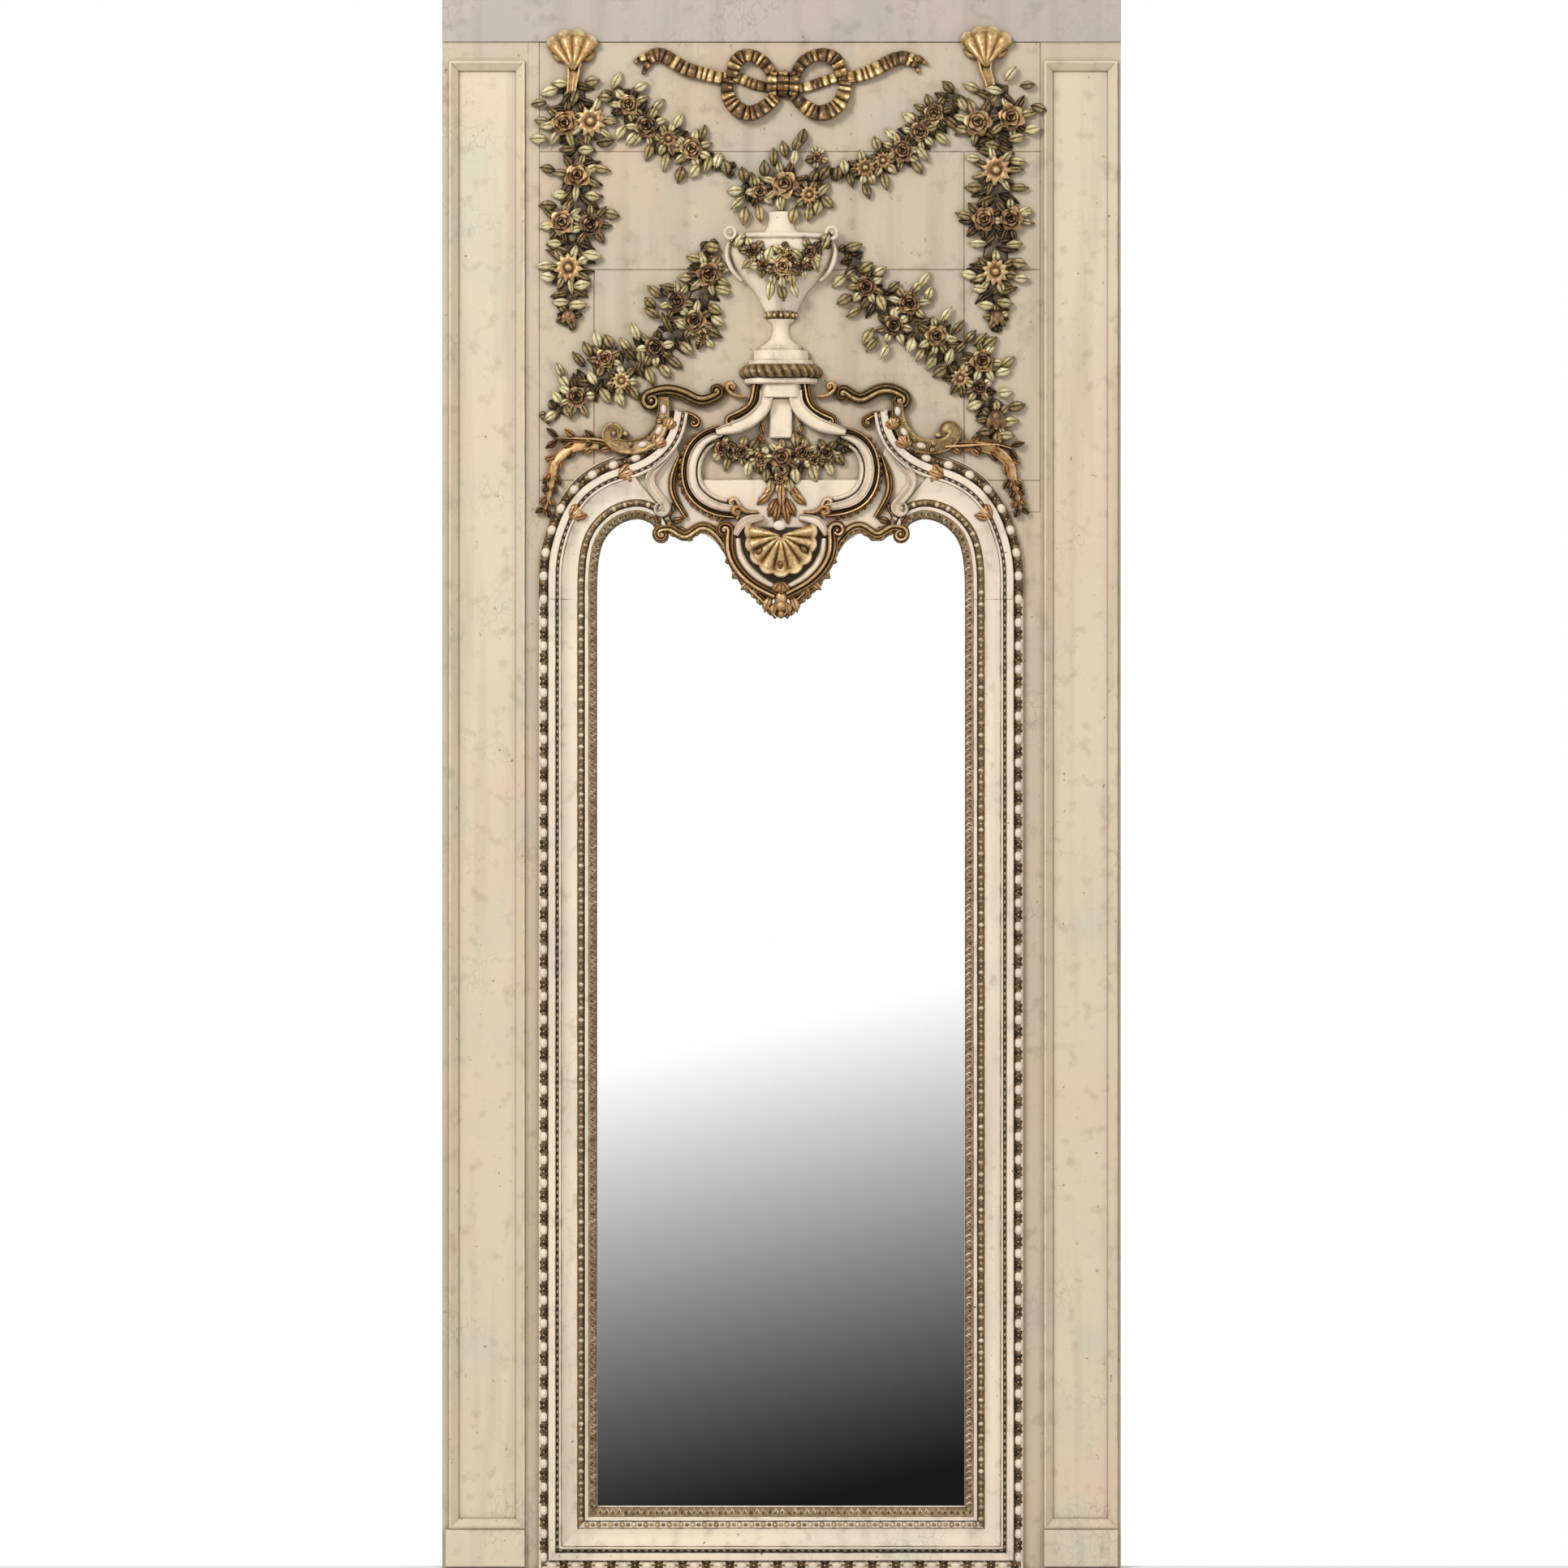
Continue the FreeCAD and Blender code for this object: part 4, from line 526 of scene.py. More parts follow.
def petal(into, centre, angle, near, far, width, low, high, cup, tone, droop=0.35):
    """One petal of a flower, from its heel near the middle to its rounded lip."""
    u = np.linspace(0, 1, 6)[:, None]
    v = np.linspace(-1, 1, 5)[None]
    wide = width / 2 * (0.3 + 0.7 * np.sin(math.pi * (0.1 + 0.83 * u)) ** 0.7)
    across = wide * v
    along = near + (far - near) * (u - 0.16 * v ** 2 * u)
    lift = low + (high - low) * (np.sin(u * math.pi * (0.5 + droop * 0.4)) ** 0.9)
    lift = lift + cup * v ** 2 * u - (high - low) * droop * u ** 4
    cos, sin = math.cos(angle), math.sin(angle)
    points = np.stack([centre[0] + along * cos - across * sin,
                       centre[1] + along * sin + across * cos, lift + along * 0], -1)
    # Painted light: each petal is dark at its heel under the others and bright at its lip.
    add_slab(into, points, 1.8 * MM, np.clip(0.1 + 0.9 * u ** 1.5 + 0 * v, 0, 1), tone)


def rose(into, centre, radius, base, rise, tone):
    """Two rows of pointed petals, a few closed ones, and a button."""
    turn = RNG.uniform(0, math.tau)
    for count, near, far, low, high, width in ((6, 0.2, 1.0, 0.1, 0.5, 0.86),
                                               (5, 0.1, 0.66, 0.35, 0.8, 0.66),
                                               (3, 0.05, 0.32, 0.6, 1.0, 0.42)):
        turn += 0.5
        for index in range(count):
            petal(into, centre, turn + math.tau * index / count + RNG.uniform(-0.12, 0.12),
                  radius * near, radius * far * RNG.uniform(0.86, 1.06), radius * width,
                  base + rise * low, base + rise * high * RNG.uniform(0.85, 1.1), 1.6 * MM,
                  tone + RNG.uniform(-0.25, 0.3))
    # The button is dark and sits low under the inner petals: painted shade in the flower's heart.
    ball(into, centre, base + rise * 0.2, radius * 0.5, radius * 0.5, rise * 0.4, tone=0.0)


def daisy(into, centre, radius, base, rise, tone):
    """Narrow petals that radiate from a button."""
    turn = RNG.uniform(0, math.tau)
    for index in range(11):
        petal(into, centre, turn + math.tau * index / 11, radius * 0.2, radius,
              radius * 0.42, base + rise * 0.3, base + rise * 0.62, -1.2 * MM,
              tone + RNG.uniform(-0.1, 0.2), 0.6)
    ball(into, centre, base + rise * 0.55, radius * 0.26, radius * 0.26, rise * 0.4, tone=0.75)
    # The lower ball is dark and shows between the petals as painted shade.
    ball(into, centre, base + rise * 0.15, radius * 0.5, radius * 0.5, rise * 0.4, tone=0.1)


def bud(into, centre, radius, base, rise, tone):
    """A half-open flower that faces downwards."""
    for turn in (-0.5, 0.5, 0.0):
        petal(into, (centre[0], centre[1] + radius * 0.6), -math.pi / 2 + turn, 0, radius * 1.7,
              radius * 0.9, base + rise * (0.35 + 0.2 * (turn == 0)), base + rise * 0.85, -2 * MM,
              tone)
    ball(into, centre, base + rise * 0.4, radius * 0.5, radius * 0.7, rise * 0.35, tone=0.2)


FLOWERS = {"rose": rose, "daisy": daisy, "bud": bud}


def scroll(into, line, half, rise, section=HOLLOWED, base=0.0, tone=0.5, taper=(1, 1)):
    """A carved band whose width follows a taper from start to end."""
    share = tapered(taper, len(line))
    sweep(into, line, section, half * share, rise * (0.55 + 0.45 * share), base, tone)


def heading_at(line, index):
    step = line[index + 1] - line[index]
    return math.atan2(step[1], step[0])


def feathers(into, line, side, length, width, pitch, base, rise, tone, lean):
    """Leaf tips that lean off a line, as on a carved acanthus edge."""
    places = resampled(line, max(3, int(length_of(line) / pitch)))
    turned = normals(places) * side
    for index in range(len(places)):
        step = places[min(index + 1, len(places) - 1)] - places[max(index - 1, 0)]
        heading = math.atan2(step[1], step[0])
        away = math.atan2(turned[index, 1], turned[index, 0])
        swing = math.atan2(math.sin(away - heading), math.cos(away - heading))
        leaf(into, places[index], heading + swing * lean, length * RNG.uniform(0.85, 1.1), width,
             base, rise, tone=tone + RNG.uniform(-0.15, 0.15))


def eye(into, centre, radius, rise, tone):
    """The button in the middle of a curl."""
    ball(into, centre, rise * 0.45, radius, radius, rise * 0.5, tone=tone)


# ---------------------------------------------------------------- frame courses
# Sections in millimetres: distance from the frame's outer edge, and rise in front of the field.
COURSES = {
    "bead_bed": np.vstack([[(0.4, 2)], arc((0.4, 10.3), (17.4, 10.3), 4.9), [(17.4, 2)]]),
    "fillet": np.array([(17.4, 2), (17.4, 19.8), (18, 20.5), (29.4, 20.5), (30, 19.8), (30, 2)]),
    "groove": np.array([(29.8, 2), (29.8, 13.3), (36.2, 13.3), (36.2, 2)]),
    "fine": np.vstack([[(36, 2)], arc((36, 21.2), (41, 21.2), 1.5, 5), [(41, 2)]]),
    "cove": np.vstack([[(41, 2)], arc((41, 23.2), (68.4, 13.4), -4.8, 9), [(68.4, 2)]]),
    "pearl_bed": np.vstack([[(68.4, 2)], arc((68.4, 12.2), (81.6, 12.2), 3.6), [(81.6, 2)]]),
    "light": np.array([(81.5, 2), (81.5, 16), (82, 16.5), (87.5, 16.5), (88, 16), (88, 2)]),
    "ovolo": np.vstack([[(88, 2)], arc((88, 15.4), (102.9, 7.3), 2.6), [(102.9, 2)]]),
}
BEAD_LINE, GROOVE_LINE, PEARL_LINE, SIGHT_LINE = 8.9, 33.0, 75.0, 96.0
BEAD_PITCH, NOTCH_PITCH, PEARL_PITCH, SIGHT_PITCH = 41, 12.5, 21, 11

ARCH_OUTER = route((664.3, 739), (665.5, 691), (673.8, 653.8), (688, 620.8), (709, 594),
                   (732, 577.6), (754, 568), (787, 556.3), (812, 533), (819.6, 505.4))
ARCH_PEARL = route((716.4, 739), (717.3, 699.8), (724.1, 664.1), (737.3, 642.8), (756.6, 627.7),
                   (783.5, 620.2), (803, 624), (818, 633.5), (825, 646))


def profile(points, shift=0.0):
    """A course's section as distances to the right of its line, in metres."""
    points = np.asarray(points, float)
    return np.stack([-(points[:, 0] - shift), points[:, 1]], 1) * MM


def worn_of(section):
    """How bright each corner of a section is painted, as rubbed wear and painted highlight: most on
    top, darkest at the foot as painted shade.
    """
    high, low = section[:, 1].max(), section[:, 1].min()
    return np.clip((section[:, 1] - low) / (high - low), 0, 1) * 0.6


def flipped(points, way):
    """Left-hand points as they are, or mirrored to the right-hand side."""
    if way < 0:
        return points
    turned = points.copy()
    turned[..., 0] = 2 * MIDDLE - turned[..., 0]
    return turned


def jamb_course(into, key, way):
    """One course of a jamb, from its mitre up to the butt joint."""
    section = COURSES[key]
    x = FRAME_LEFT + section[:, 0] * MM
    feet = section[:, 0] * MM * SILL_SHARE
    levels = np.linspace(0, 1, 12)[:, None]
    z = feet + (SPRING - 0.5 * MM - feet) * levels
    points = np.stack([x + z * 0, z, section[:, 1] * MM + z * 0], -1)
    add_tube(into, flipped(points, way), worn_of(section))


def sill_course(into, key):
    """One course of the bottom rail between the two mitres."""
    section = COURSES[key]
    z = section[:, 0] * MM * SILL_SHARE
    inset = section[:, 0] * MM
    shares = np.linspace(0, 1, 10)[:, None]
    x = FRAME_LEFT + inset + (FRAME_RIGHT - FRAME_LEFT - 2 * inset) * shares
    points = np.stack([x, z + x * 0, section[:, 1] * MM + x * 0], -1)
    add_tube(into, points, worn_of(section))


OUTER = fair(ARCH_OUTER, 64)
PEARLS = fair(ARCH_PEARL, 54)
OUTER_KEYS = ("bead_bed", "fillet", "groove", "fine")


def arch_course(into, key, way):
    """One course of the arched head, on the outer line or on the line of the pearls."""
    line, shift = (OUTER, 0.0) if key in OUTER_KEYS else (PEARLS, PEARL_LINE)
    section = profile(COURSES[key], shift)
    side = normals(line)
    points = np.stack([line[:, None, 0] + side[:, None, 0] * section[:, 0],
                       line[:, None, 1] + side[:, None, 1] * section[:, 0],
                       section[:, 1] + line[:, None, 0] * 0], -1)
    add_tube(into, flipped(points, way), worn_of(section))


def arch_cove(into, way):
    """The wide cove of the arch, stretched between the fine bead and the pearls."""
    outer = resampled(offset(OUTER, -41 * MM)[:48], 40)
    inner = resampled(offset(PEARLS, 6.5 * MM)[:47], 40)
    share = np.linspace(0, 1, 9)
    rise = (23.2 + (13.4 - 23.2) * share - 4.8 * 4 * share * (1 - share)) * MM
    across = outer[:, None] + (inner - outer)[:, None] * share[None, :, None]
    points = np.concatenate([across, np.broadcast_to(rise[None, :, None], (40, 9, 1))], -1)
    foot = points[:, [0, -1]].copy()
    foot[..., 2] = 2 * MM
    points = np.concatenate([foot[:, :1], points, foot[:, 1:]], 1)
    add_tube(into, flipped(points, way), 0.4)


def course_line(distance, way):
    """A course's middle line: up the jamb from the mitre and over the arch, as one line."""
    foot = distance * MM * SILL_SHARE
    jamb = np.array([(FRAME_LEFT + distance * MM, z) for z in np.linspace(foot, SPRING, 80)])
    if distance < COURSES["cove"][0, 0]:
        head = offset(OUTER, -distance * MM)
    else:
        head = offset(PEARLS, -(distance - PEARL_LINE) * MM)
    line = np.vstack([jamb, head[1:]])
    line = resampled(line, 400)
    return mirrored(line) if way > 0 else line


def sill_line(distance):
    """A course's middle line along the bottom rail."""
    foot = distance * MM * SILL_SHARE
    return np.array([(x, foot) for x in np.linspace(FRAME_LEFT + distance * MM,
                                                    FRAME_RIGHT - distance * MM, 200)])


def stations(line, pitch, start=0.5):
    """Evenly spaced places on a line and the heading at each."""
    run = distances(line)
    count = max(1, round(run[-1] / pitch))
    places = (np.arange(count) + start) * run[-1] / count
    steps = placed(line, run, places + MM) - placed(line, run, places - MM)
    return [(point, math.atan2(step[1], step[0]))
            for point, step in zip(placed(line, run, places), steps)]


def course_runs(distance, way):
    """A course's lines and whether each is the bottom rail's, which comes with the left side."""
    rail = [(sill_line(distance), True)] if way < 0 else []
    return [(course_line(distance, way), False)] + rail


def beading(into, line, pitch, start, sizes, tones, columns, rows):
    """A row of beads; sizes are foot, half length, half width and height in millimetres."""
    for point, heading in stations(line, pitch * MM, start):
        ball(into, point, *(size * MM for size in sizes), heading, RNG.uniform(*tones), columns,
             rows)


def ornaments():
    """Beads and darts, notches, pearls and spindles, and leaf-and-dart along every course."""
    beads, darts, notches, pearls, sight = (Carving() for _ in range(5))
    for way in (-1, 1):
        for line, _ in course_runs(BEAD_LINE, way):
            beading(beads, line, BEAD_PITCH, 0.35, (12, 9.2, 8, 8.4), (0.3, 0.7), 14, 8)
            for point, heading in stations(line, BEAD_PITCH * MM, 0.85):
                for turn in (0.75, -0.75, math.pi - 0.75, math.pi + 0.75):
                    leaf(darts, point, heading + turn, 10.5 * MM, 6.5 * MM, 13.2 * MM, 4.2 * MM,
                         tone=RNG.uniform(-0.2, 0.5))
                ball(darts, point, 14 * MM, 3 * MM, 3 * MM, 4 * MM, heading, columns=8, rows=4)
        for line, _ in course_runs(GROOVE_LINE, way):
            beading(notches, line, NOTCH_PITCH, 0.5, (13, 4.4, 2.8, 3.8), (0.2, 0.8), 8, 4)
        for line, _ in course_runs(PEARL_LINE, way):
            beading(pearls, line, PEARL_PITCH, 0.5, (15, 4.6, 5.4, 5), (0.35, 0.8), 10, 6)
            beading(pearls, line, PEARL_PITCH, 1.0, (14.6, 4.2, 3.4, 3.6), (0.1, 0.5), 8, 5)
        for line, rail in course_runs(SIGHT_LINE, way):
            inward = -math.pi / 2 if way < 0 and not rail else math.pi / 2
            for start, back, swing, length, width, base, rise, tones, curl in (
                    (0.5, 7, 0.35, 14.5, 7.4, 11.5, 6, (0.4, 1.1), -4.5),
                    (1.0, 5, -0.5, 12, 4, 12.5, 5, (-0.4, 0.3), -5)):
                for point, heading in stations(line, SIGHT_PITCH * MM, start):
                    away = np.array([math.cos(heading + inward), math.sin(heading + inward)])
                    leaf(sight, point - away * back * MM, heading + inward + swing, length * MM,
                         width * MM, base * MM, rise * MM, tone=RNG.uniform(*tones),
                         curl=curl * MM)
    beads.piece("frame_beads", CREAM_MOULD, "cream_paint")
    darts.piece("frame_darts", SCROLL_GOLD, "bronzed_gilding")
    notches.piece("frame_notches", CREAM_MOULD, "cream_paint")
    pearls.piece("frame_pearls", COURSE_GOLD, "old_gilding")
    sight.piece("sight_leaves", COURSE_GOLD, "old_gilding")


def mouldings():
    """The courses of jambs, bottom rail and arch, each in its own finish."""
    cream, gilt, sight = Carving(), Carving(), Carving()
    head_outer, head_inner = Carving(), Carving()
    finishes = {"bead_bed": gilt, "groove": gilt, "pearl_bed": gilt, "ovolo": sight}
    for way in (-1, 1):
        for key in COURSES:
            into = finishes.get(key, cream)
            jamb_course(into, key, way)
            if way < 0:
                sill_course(into, key)
            if key == "cove":
                arch_cove(head_inner, way)
            elif into is cream:
                arch_course(head_outer if key in OUTER_KEYS else head_inner, key, way)
            else:
                arch_course(into, key, way)
    cream.piece("frame_mouldings", CREAM_MOULD, "cream_paint")
    gilt.piece("gilt_courses", SCROLL_GOLD, "bronzed_gilding")
    sight.piece("sight_edge", COURSE_GOLD, "old_gilding")
    head_outer.piece("arch_outer_courses", CREAM_MOULD, "cream_paint",
                     "left_arch_outer_moulding", "right_arch_outer_moulding")
    head_inner.piece("arch_inner_courses", CREAM_MOULD, "cream_paint",
                     "left_arch_inner_moulding", "right_arch_inner_moulding")


mouldings()
ornaments()

# ---------------------------------------------------------------- boards that stay as modelled
for name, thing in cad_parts.items():
    if name == "mirror_glass":
        finish = MIRROR
    elif name.endswith("wall_hanger"):
        finish = STEEL
    elif name == "backboard" or "ledge" in name or name.endswith("batten"):
        finish = WOOD
    elif name == "frieze_board":
        finish = GREY
    elif name in ("left_jamb", "right_jamb", "sill", "head_board"):
        finish = CREAM_MOULD
    elif "liner" in name or "shoulder" in name or name.endswith("stile"):
        finish = FIELD_CREAM
    else:
        finish = CREAM
    thing.data.materials.clear()
    thing.data.materials.append(finish)


# ---------------------------------------------------------------- field planks
def block(into, left, right, foot, head, depth, chamfer, front):
    """A board with chamfered front edges."""
    rings = []
    for inset, rise in ((0, front - depth), (0, front - chamfer), (chamfer, front)):
        x0, x1, z0, z1 = left + inset, right - inset, foot + inset, head - inset
        rings.append([(x0, z0, rise), (x1, z0, rise), (x1, z1, rise), (x0, z1, rise)])
    faces = quads(3, 4, wrap=True) + [[3, 2, 1, 0], [8, 9, 10, 11]]
    into.add(np.array(rings), faces, 0.5)


def planks():
    """The boards behind the carvings, with their seams and the two long cracks."""
    into = Carving()
    left, right = FRAME_LEFT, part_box("upper_field_board")[1].x
    levels = [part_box("lower_field_board")[0].z, at(0, 592)[1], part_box("middle_field_board")[0].z,
              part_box("upper_field_board")[0].z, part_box("upper_field_board")[1].z]
    cracks = ((), (732, 1188), (1188,), ())
    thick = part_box("upper_field_board")[1].y + FIELD
    for foot, head, row in zip(levels, levels[1:], cracks):
        edges = [left] + [at(px, 0)[0] for px in row] + [right]
        for start, end in zip(edges, edges[1:]):
            block(into, start, end, foot, head, thick, 1.3 * MM, 0.0)
    into.piece("field_planks", FIELD_CREAM, "cream_paint", "lower_field_board",
               "middle_field_board", "upper_field_board", sharp=True)


planks()

# ---------------------------------------------------------------- urn
BOWL_DEPTH = 0.44         # how far the half-round bowl stands out, as a share of its half width


def turned(into, pairs, depth, columns=33, flutes=0, cut=0.0, tone=0.5, spiral=0.0):
    """A half-round turning from (pixel row, half width in pixels), with flutes or gadroons."""
    turn = np.linspace(0, math.pi, columns)
    rows = []
    for index, (py, half) in enumerate(pairs):
        wave = 1 + cut * np.abs(np.sin(flutes * (turn + spiral * index))) - cut if flutes else 1.0
        x = AXIS - np.cos(turn) * half * PX * np.where(np.sin(turn) > 0.02, wave, 1)
        rows.append(np.stack([x, np.full(columns, at(0, py)[1]),
                              np.sin(turn) * half * PX * depth * wave], 1))
    shape = np.array(rows)
    worn = np.full(shape.shape[:2], 0.5)
    if flutes:
        # Painted light: flute and gadroon crests bright, the grooves dark.
        worn = np.array([np.abs(np.sin(flutes * (turn + spiral * i))) for i in range(len(pairs))])
    add_tube(into, shape, worn, tone)


def canted(into, py_low, py_high, half, depth, lip=0.0):
    """A block with canted corners between two pixel rows."""
    plan = np.array([(-1, 0), (-1, 0.45), (-0.72, 0.92), (-0.62, 1), (0.62, 1), (0.72, 0.92),
                     (1, 0.45), (1, 0)])
    rows = []
    for py, share in ((py_low, 1 - lip), (py_low - 1, 1), (py_high + 1, 1), (py_high, 1 - lip)):
        rows.append(np.stack([AXIS + plan[:, 0] * half * PX * share, np.full(8, at(0, py)[1]),
                              plan[:, 1] * depth * share], 1))
    add_tube(into, np.array(rows), 0.5)


def urn():
    """Neck and bowl, foot with its collar, the gadrooned plinth, and the handles."""
    bowl, foot, plinth, gilt, handles = (Carving() for _ in range(5))
    turned(bowl, ((288.4, 27), (286.4, 22), (284, 19), (279, 16.4), (272, 15), (264, 15.4),
                  (261.4, 16)), 0.6)
    turned(bowl, ((385, 19.5), (375, 24.5), (368, 28), (360, 32.5), (350, 41.5), (340, 50),
                  (327, 57.5), (315, 62), (306, 64.5), (300, 62.5), (297.6, 58), (296, 56.6),
                  (295.2, 59), (294, 63.5), (291.8, 65), (289.8, 64), (288.8, 61), (288.6, 42),
                  (288.2, 28), (287.6, 17)), BOWL_DEPTH)
    bowl.piece("urn_body", CREAM_MOULD, "cream_paint", "urn_bowl")
    turned(foot, ((433.2, 26.6), (431, 26.6), (430.2, 25.4), (427.5, 25.8), (426.4, 23.6),
                  (423.5, 18.5), (418, 13.2), (412, 10.8), (405, 9.8), (399.5, 11.2), (396, 15.5),
                  (394, 17.5)), 0.8)
    foot.piece("urn_stem", CREAM_MOULD, "cream_paint", "urn_foot")
    turned(gilt, ((394.6, 17), (392.4, 19.6), (389.4, 20.6), (386.4, 19.8), (384.4, 18.6)), 0.75,
           41, 9, 0.14, 0.35)
    turned(gilt, ((466.8, 46), (464.6, 50.4), (461, 52), (457, 51.6), (453.4, 49), (451, 45.4)),
           0.85, 81, 13, 0.11, 0.4, 0.035)
    for turn in np.linspace(0.3, math.pi - 0.3, 7):
        centre = (AXIS - math.cos(turn) * 19.6 * PX, at(0, 389.4)[1])
        ball(gilt, centre, math.sin(turn) * 15.5 * PX, 3.4 * MM, 3.8 * MM, 4 * MM, tone=0.8,
             columns=8, rows=4)
    gilt.piece("urn_collar_and_gadroons", SCROLL_GOLD, "old_gilding")
    canted(plinth, 490.6, 474, 26, 34 * MM)
    canted(plinth, 474.2, 467, 44.5, 44 * MM, 0.05)
    canted(plinth, 451.4, 445, 39.5, 40 * MM, 0.05)
    canted(plinth, 445.4, 433, 33.5, 36 * MM)
    plinth.piece("urn_steps", CREAM_MOULD, "cream_paint", "urn_plinth")
    for way in (-1, 1):
        centre = np.array([AXIS + way * 62.3 * PX, at(0, 289)[1]])
        spin = np.linspace(0, math.tau, 33)[:, None]
        ring = centre + np.hstack((np.cos(spin) * 6.4, np.sin(spin) * 7)) * PX
        sweep(handles, ring, TORUS, 2.3 * PX, 6 * MM, 26 * MM, 0.6)
        line = fair(np.array([(AXIS + way * x * PX, at(0, py)[1]) for x, py in
                              ((62, 298), (66.4, 309), (65.4, 322), (58.5, 336), (48, 347))]), 30)
        scroll(handles, line, 3.2 * PX, 11 * MM, TORUS, 12 * MM, 0.6, (0.7, 1, 0.6))
        ball(handles, centre, 25 * MM, 3 * MM, 3 * MM, 6 * MM, tone=0.8)
    handles.piece("urn_handles", CREAM_MOULD, "cream_paint")


urn()


# ---------------------------------------------------------------- scrolls and acanthus
def flourish(into, points, half, rise, section=HOLLOWED, base=0.0, tone=0.5, taper=(0.7, 1, 0.7),
             start=None, end=None):
    """A carved band through points that may curl up at either end: (radius, turns, way)."""
    line = fair(points, max(8, int(length_of(points) / (3 * MM))))
    for curl, back in ((end, False), (start, True)):
        if curl:
            line = line[::-1] if back else line
            line, centre = curled(line, curl[0] * PX, curl[1], curl[2])
            line = line[::-1] if back else line
            eye(into, centre, max(curl[0] * 0.42 * PX, 2 * MM), base + rise * 1.1, tone + 0.2)
    scroll(into, line, half * PX, rise, section, base, tone, taper)


def crest():
    """Legs, niche and C-scrolls."""
    legs, gilt_legs = Carving(), Carving()
    for side in (-1, 1):
        here = functools.partial(beside, side)
        flourish(legs, here((980, 482), (982, 498), (992, 512), (1008, 523), (1026, 529),
                            (1042, 533)), 8.4, 26 * MM, FLUTED * (-side, 1), 6 * MM, 0.6,
                 (1, 1, 1, 0.9, 0.5))
        flourish(gilt_legs, here((993, 472), (995, 486), (1000, 500), (1012, 509), (1025, 515)),
                 5.6, 22 * MM, REEDED, 6 * MM, 0.6, (0.5, 1, 0.9, 0.5), (5, 0.8, side),
                 (6, 0.9, -side))
        flourish(gilt_legs, here((1006, 489), (1018, 488), (1027, 482)), 4, 16 * MM, TORUS, 6 * MM,
                 0.5, (0.5, 1, 0.6), None, (6, 0.9, side))
        for px, py, turn in ((988, 523, -1.9), (985, 509, -1.4), (990, 536, -2.2)):
            leaf(gilt_legs, here((px, py))[0], faced(side, turn), 20 * MM, 11 * MM, 9 * MM, 8 * MM,
                 tone=0.25, lobes=2)
    (left, foot), (right, head) = at(948.5, 540), at(976, 491)
    block(legs, left, right, foot, head, 10 * MM, 2 * MM, 13 * MM)
    legs.piece("crest_legs", CREAM_MOULD, "cream_paint", "crest_pedestal")
    gilt_legs.piece("crest_leg_scrolls", COPPER, "old_gilding")

    outlines = {
        "left": ((887, 526), (864, 536), (848, 556), (842.5, 580), (847, 605), (863, 624),
                 (884, 634), (905, 637)),
        "right": ((1040, 528), (1062, 538), (1076, 556), (1081, 580), (1076, 604), (1062, 622),
                  (1040, 632), (1018, 635)),
    }
    hooks = {"left": ((908, 640), (912, 628), (908, 618)),
             "right": ((1016, 639), (1012, 628), (1016, 618))}
    for side, way in (("left", 1), ("right", -1)):
        cream, gilt = Carving(), Carving()
        line = fair(route(*outlines[side]), 90)
        scroll(gilt, line, 4.6 * PX, 22 * MM, REEDED * (way, 1), 4 * MM, 0.55, (0.5, 1, 1, 1, 0.7))
        feathers(gilt, resampled(line, 60)[10:54], -way, 15 * MM, 11 * MM, 11 * MM, 12 * MM,
                 12 * MM, 0.5, 0.5)
        scroll(cream, offset(line, way * 9.5 * PX), 5.8 * PX, 25 * MM, FLUTED * (way, 1), 4 * MM,
               0.7, (0.5, 1, 1, 1, 0.7))
        scroll(cream, offset(line, way * 18.5 * PX)[8:-6], 3.3 * PX, 19 * MM, TORUS, 4 * MM, 0.7,
               (0.5, 1, 1, 0.8))
        flourish(gilt, route(*hooks[side]), 3.6, 20 * MM, TORUS, 8 * MM, 0.7, (0.6, 1, 0.5), None,
                 (5, 0.9, way))
        cream.piece(side + "_crest_c_scroll", CREAM_MOULD, "cream_paint", side + "_c_scroll")
        gilt.piece(side + "_crest_c_leafwork", COPPER, "bronzed_gilding")


# For each side: upper band, band down to the arch, acanthus ribs, acanthus tail and a knob.
S_LINES = {
    "left": (((885, 488), (864, 495), (844, 487), (820, 482), (800, 487)),
             ((818, 490), (818, 504), (815, 525), (803, 543), (783, 551), (764, 550), (751, 541)),
             ((762, 553), (742, 545), (722, 543), (704, 542), (685, 541)),
             ((738, 548), (712, 550), (695, 558), (684, 570), (681, 586)),
             ((681, 580), (679, 596), (676, 612), (671, 628)), (771, 535)),
    "right": (((1042, 482), (1060, 491), (1078, 483), (1097, 480), (1113, 487)),
              ((1106, 492), (1106, 508), (1111, 528), (1128, 547), (1149, 551), (1166, 547),
               (1175, 538)),
              ((1164, 549), (1184, 548), (1205, 547), (1227, 547), (1247, 553)),
              ((1188, 550), (1214, 552), (1232, 560), (1244, 574), (1247, 592)),
              ((1247, 588), (1251, 602), (1254, 616), (1257, 628)), (1156, 537)),
}


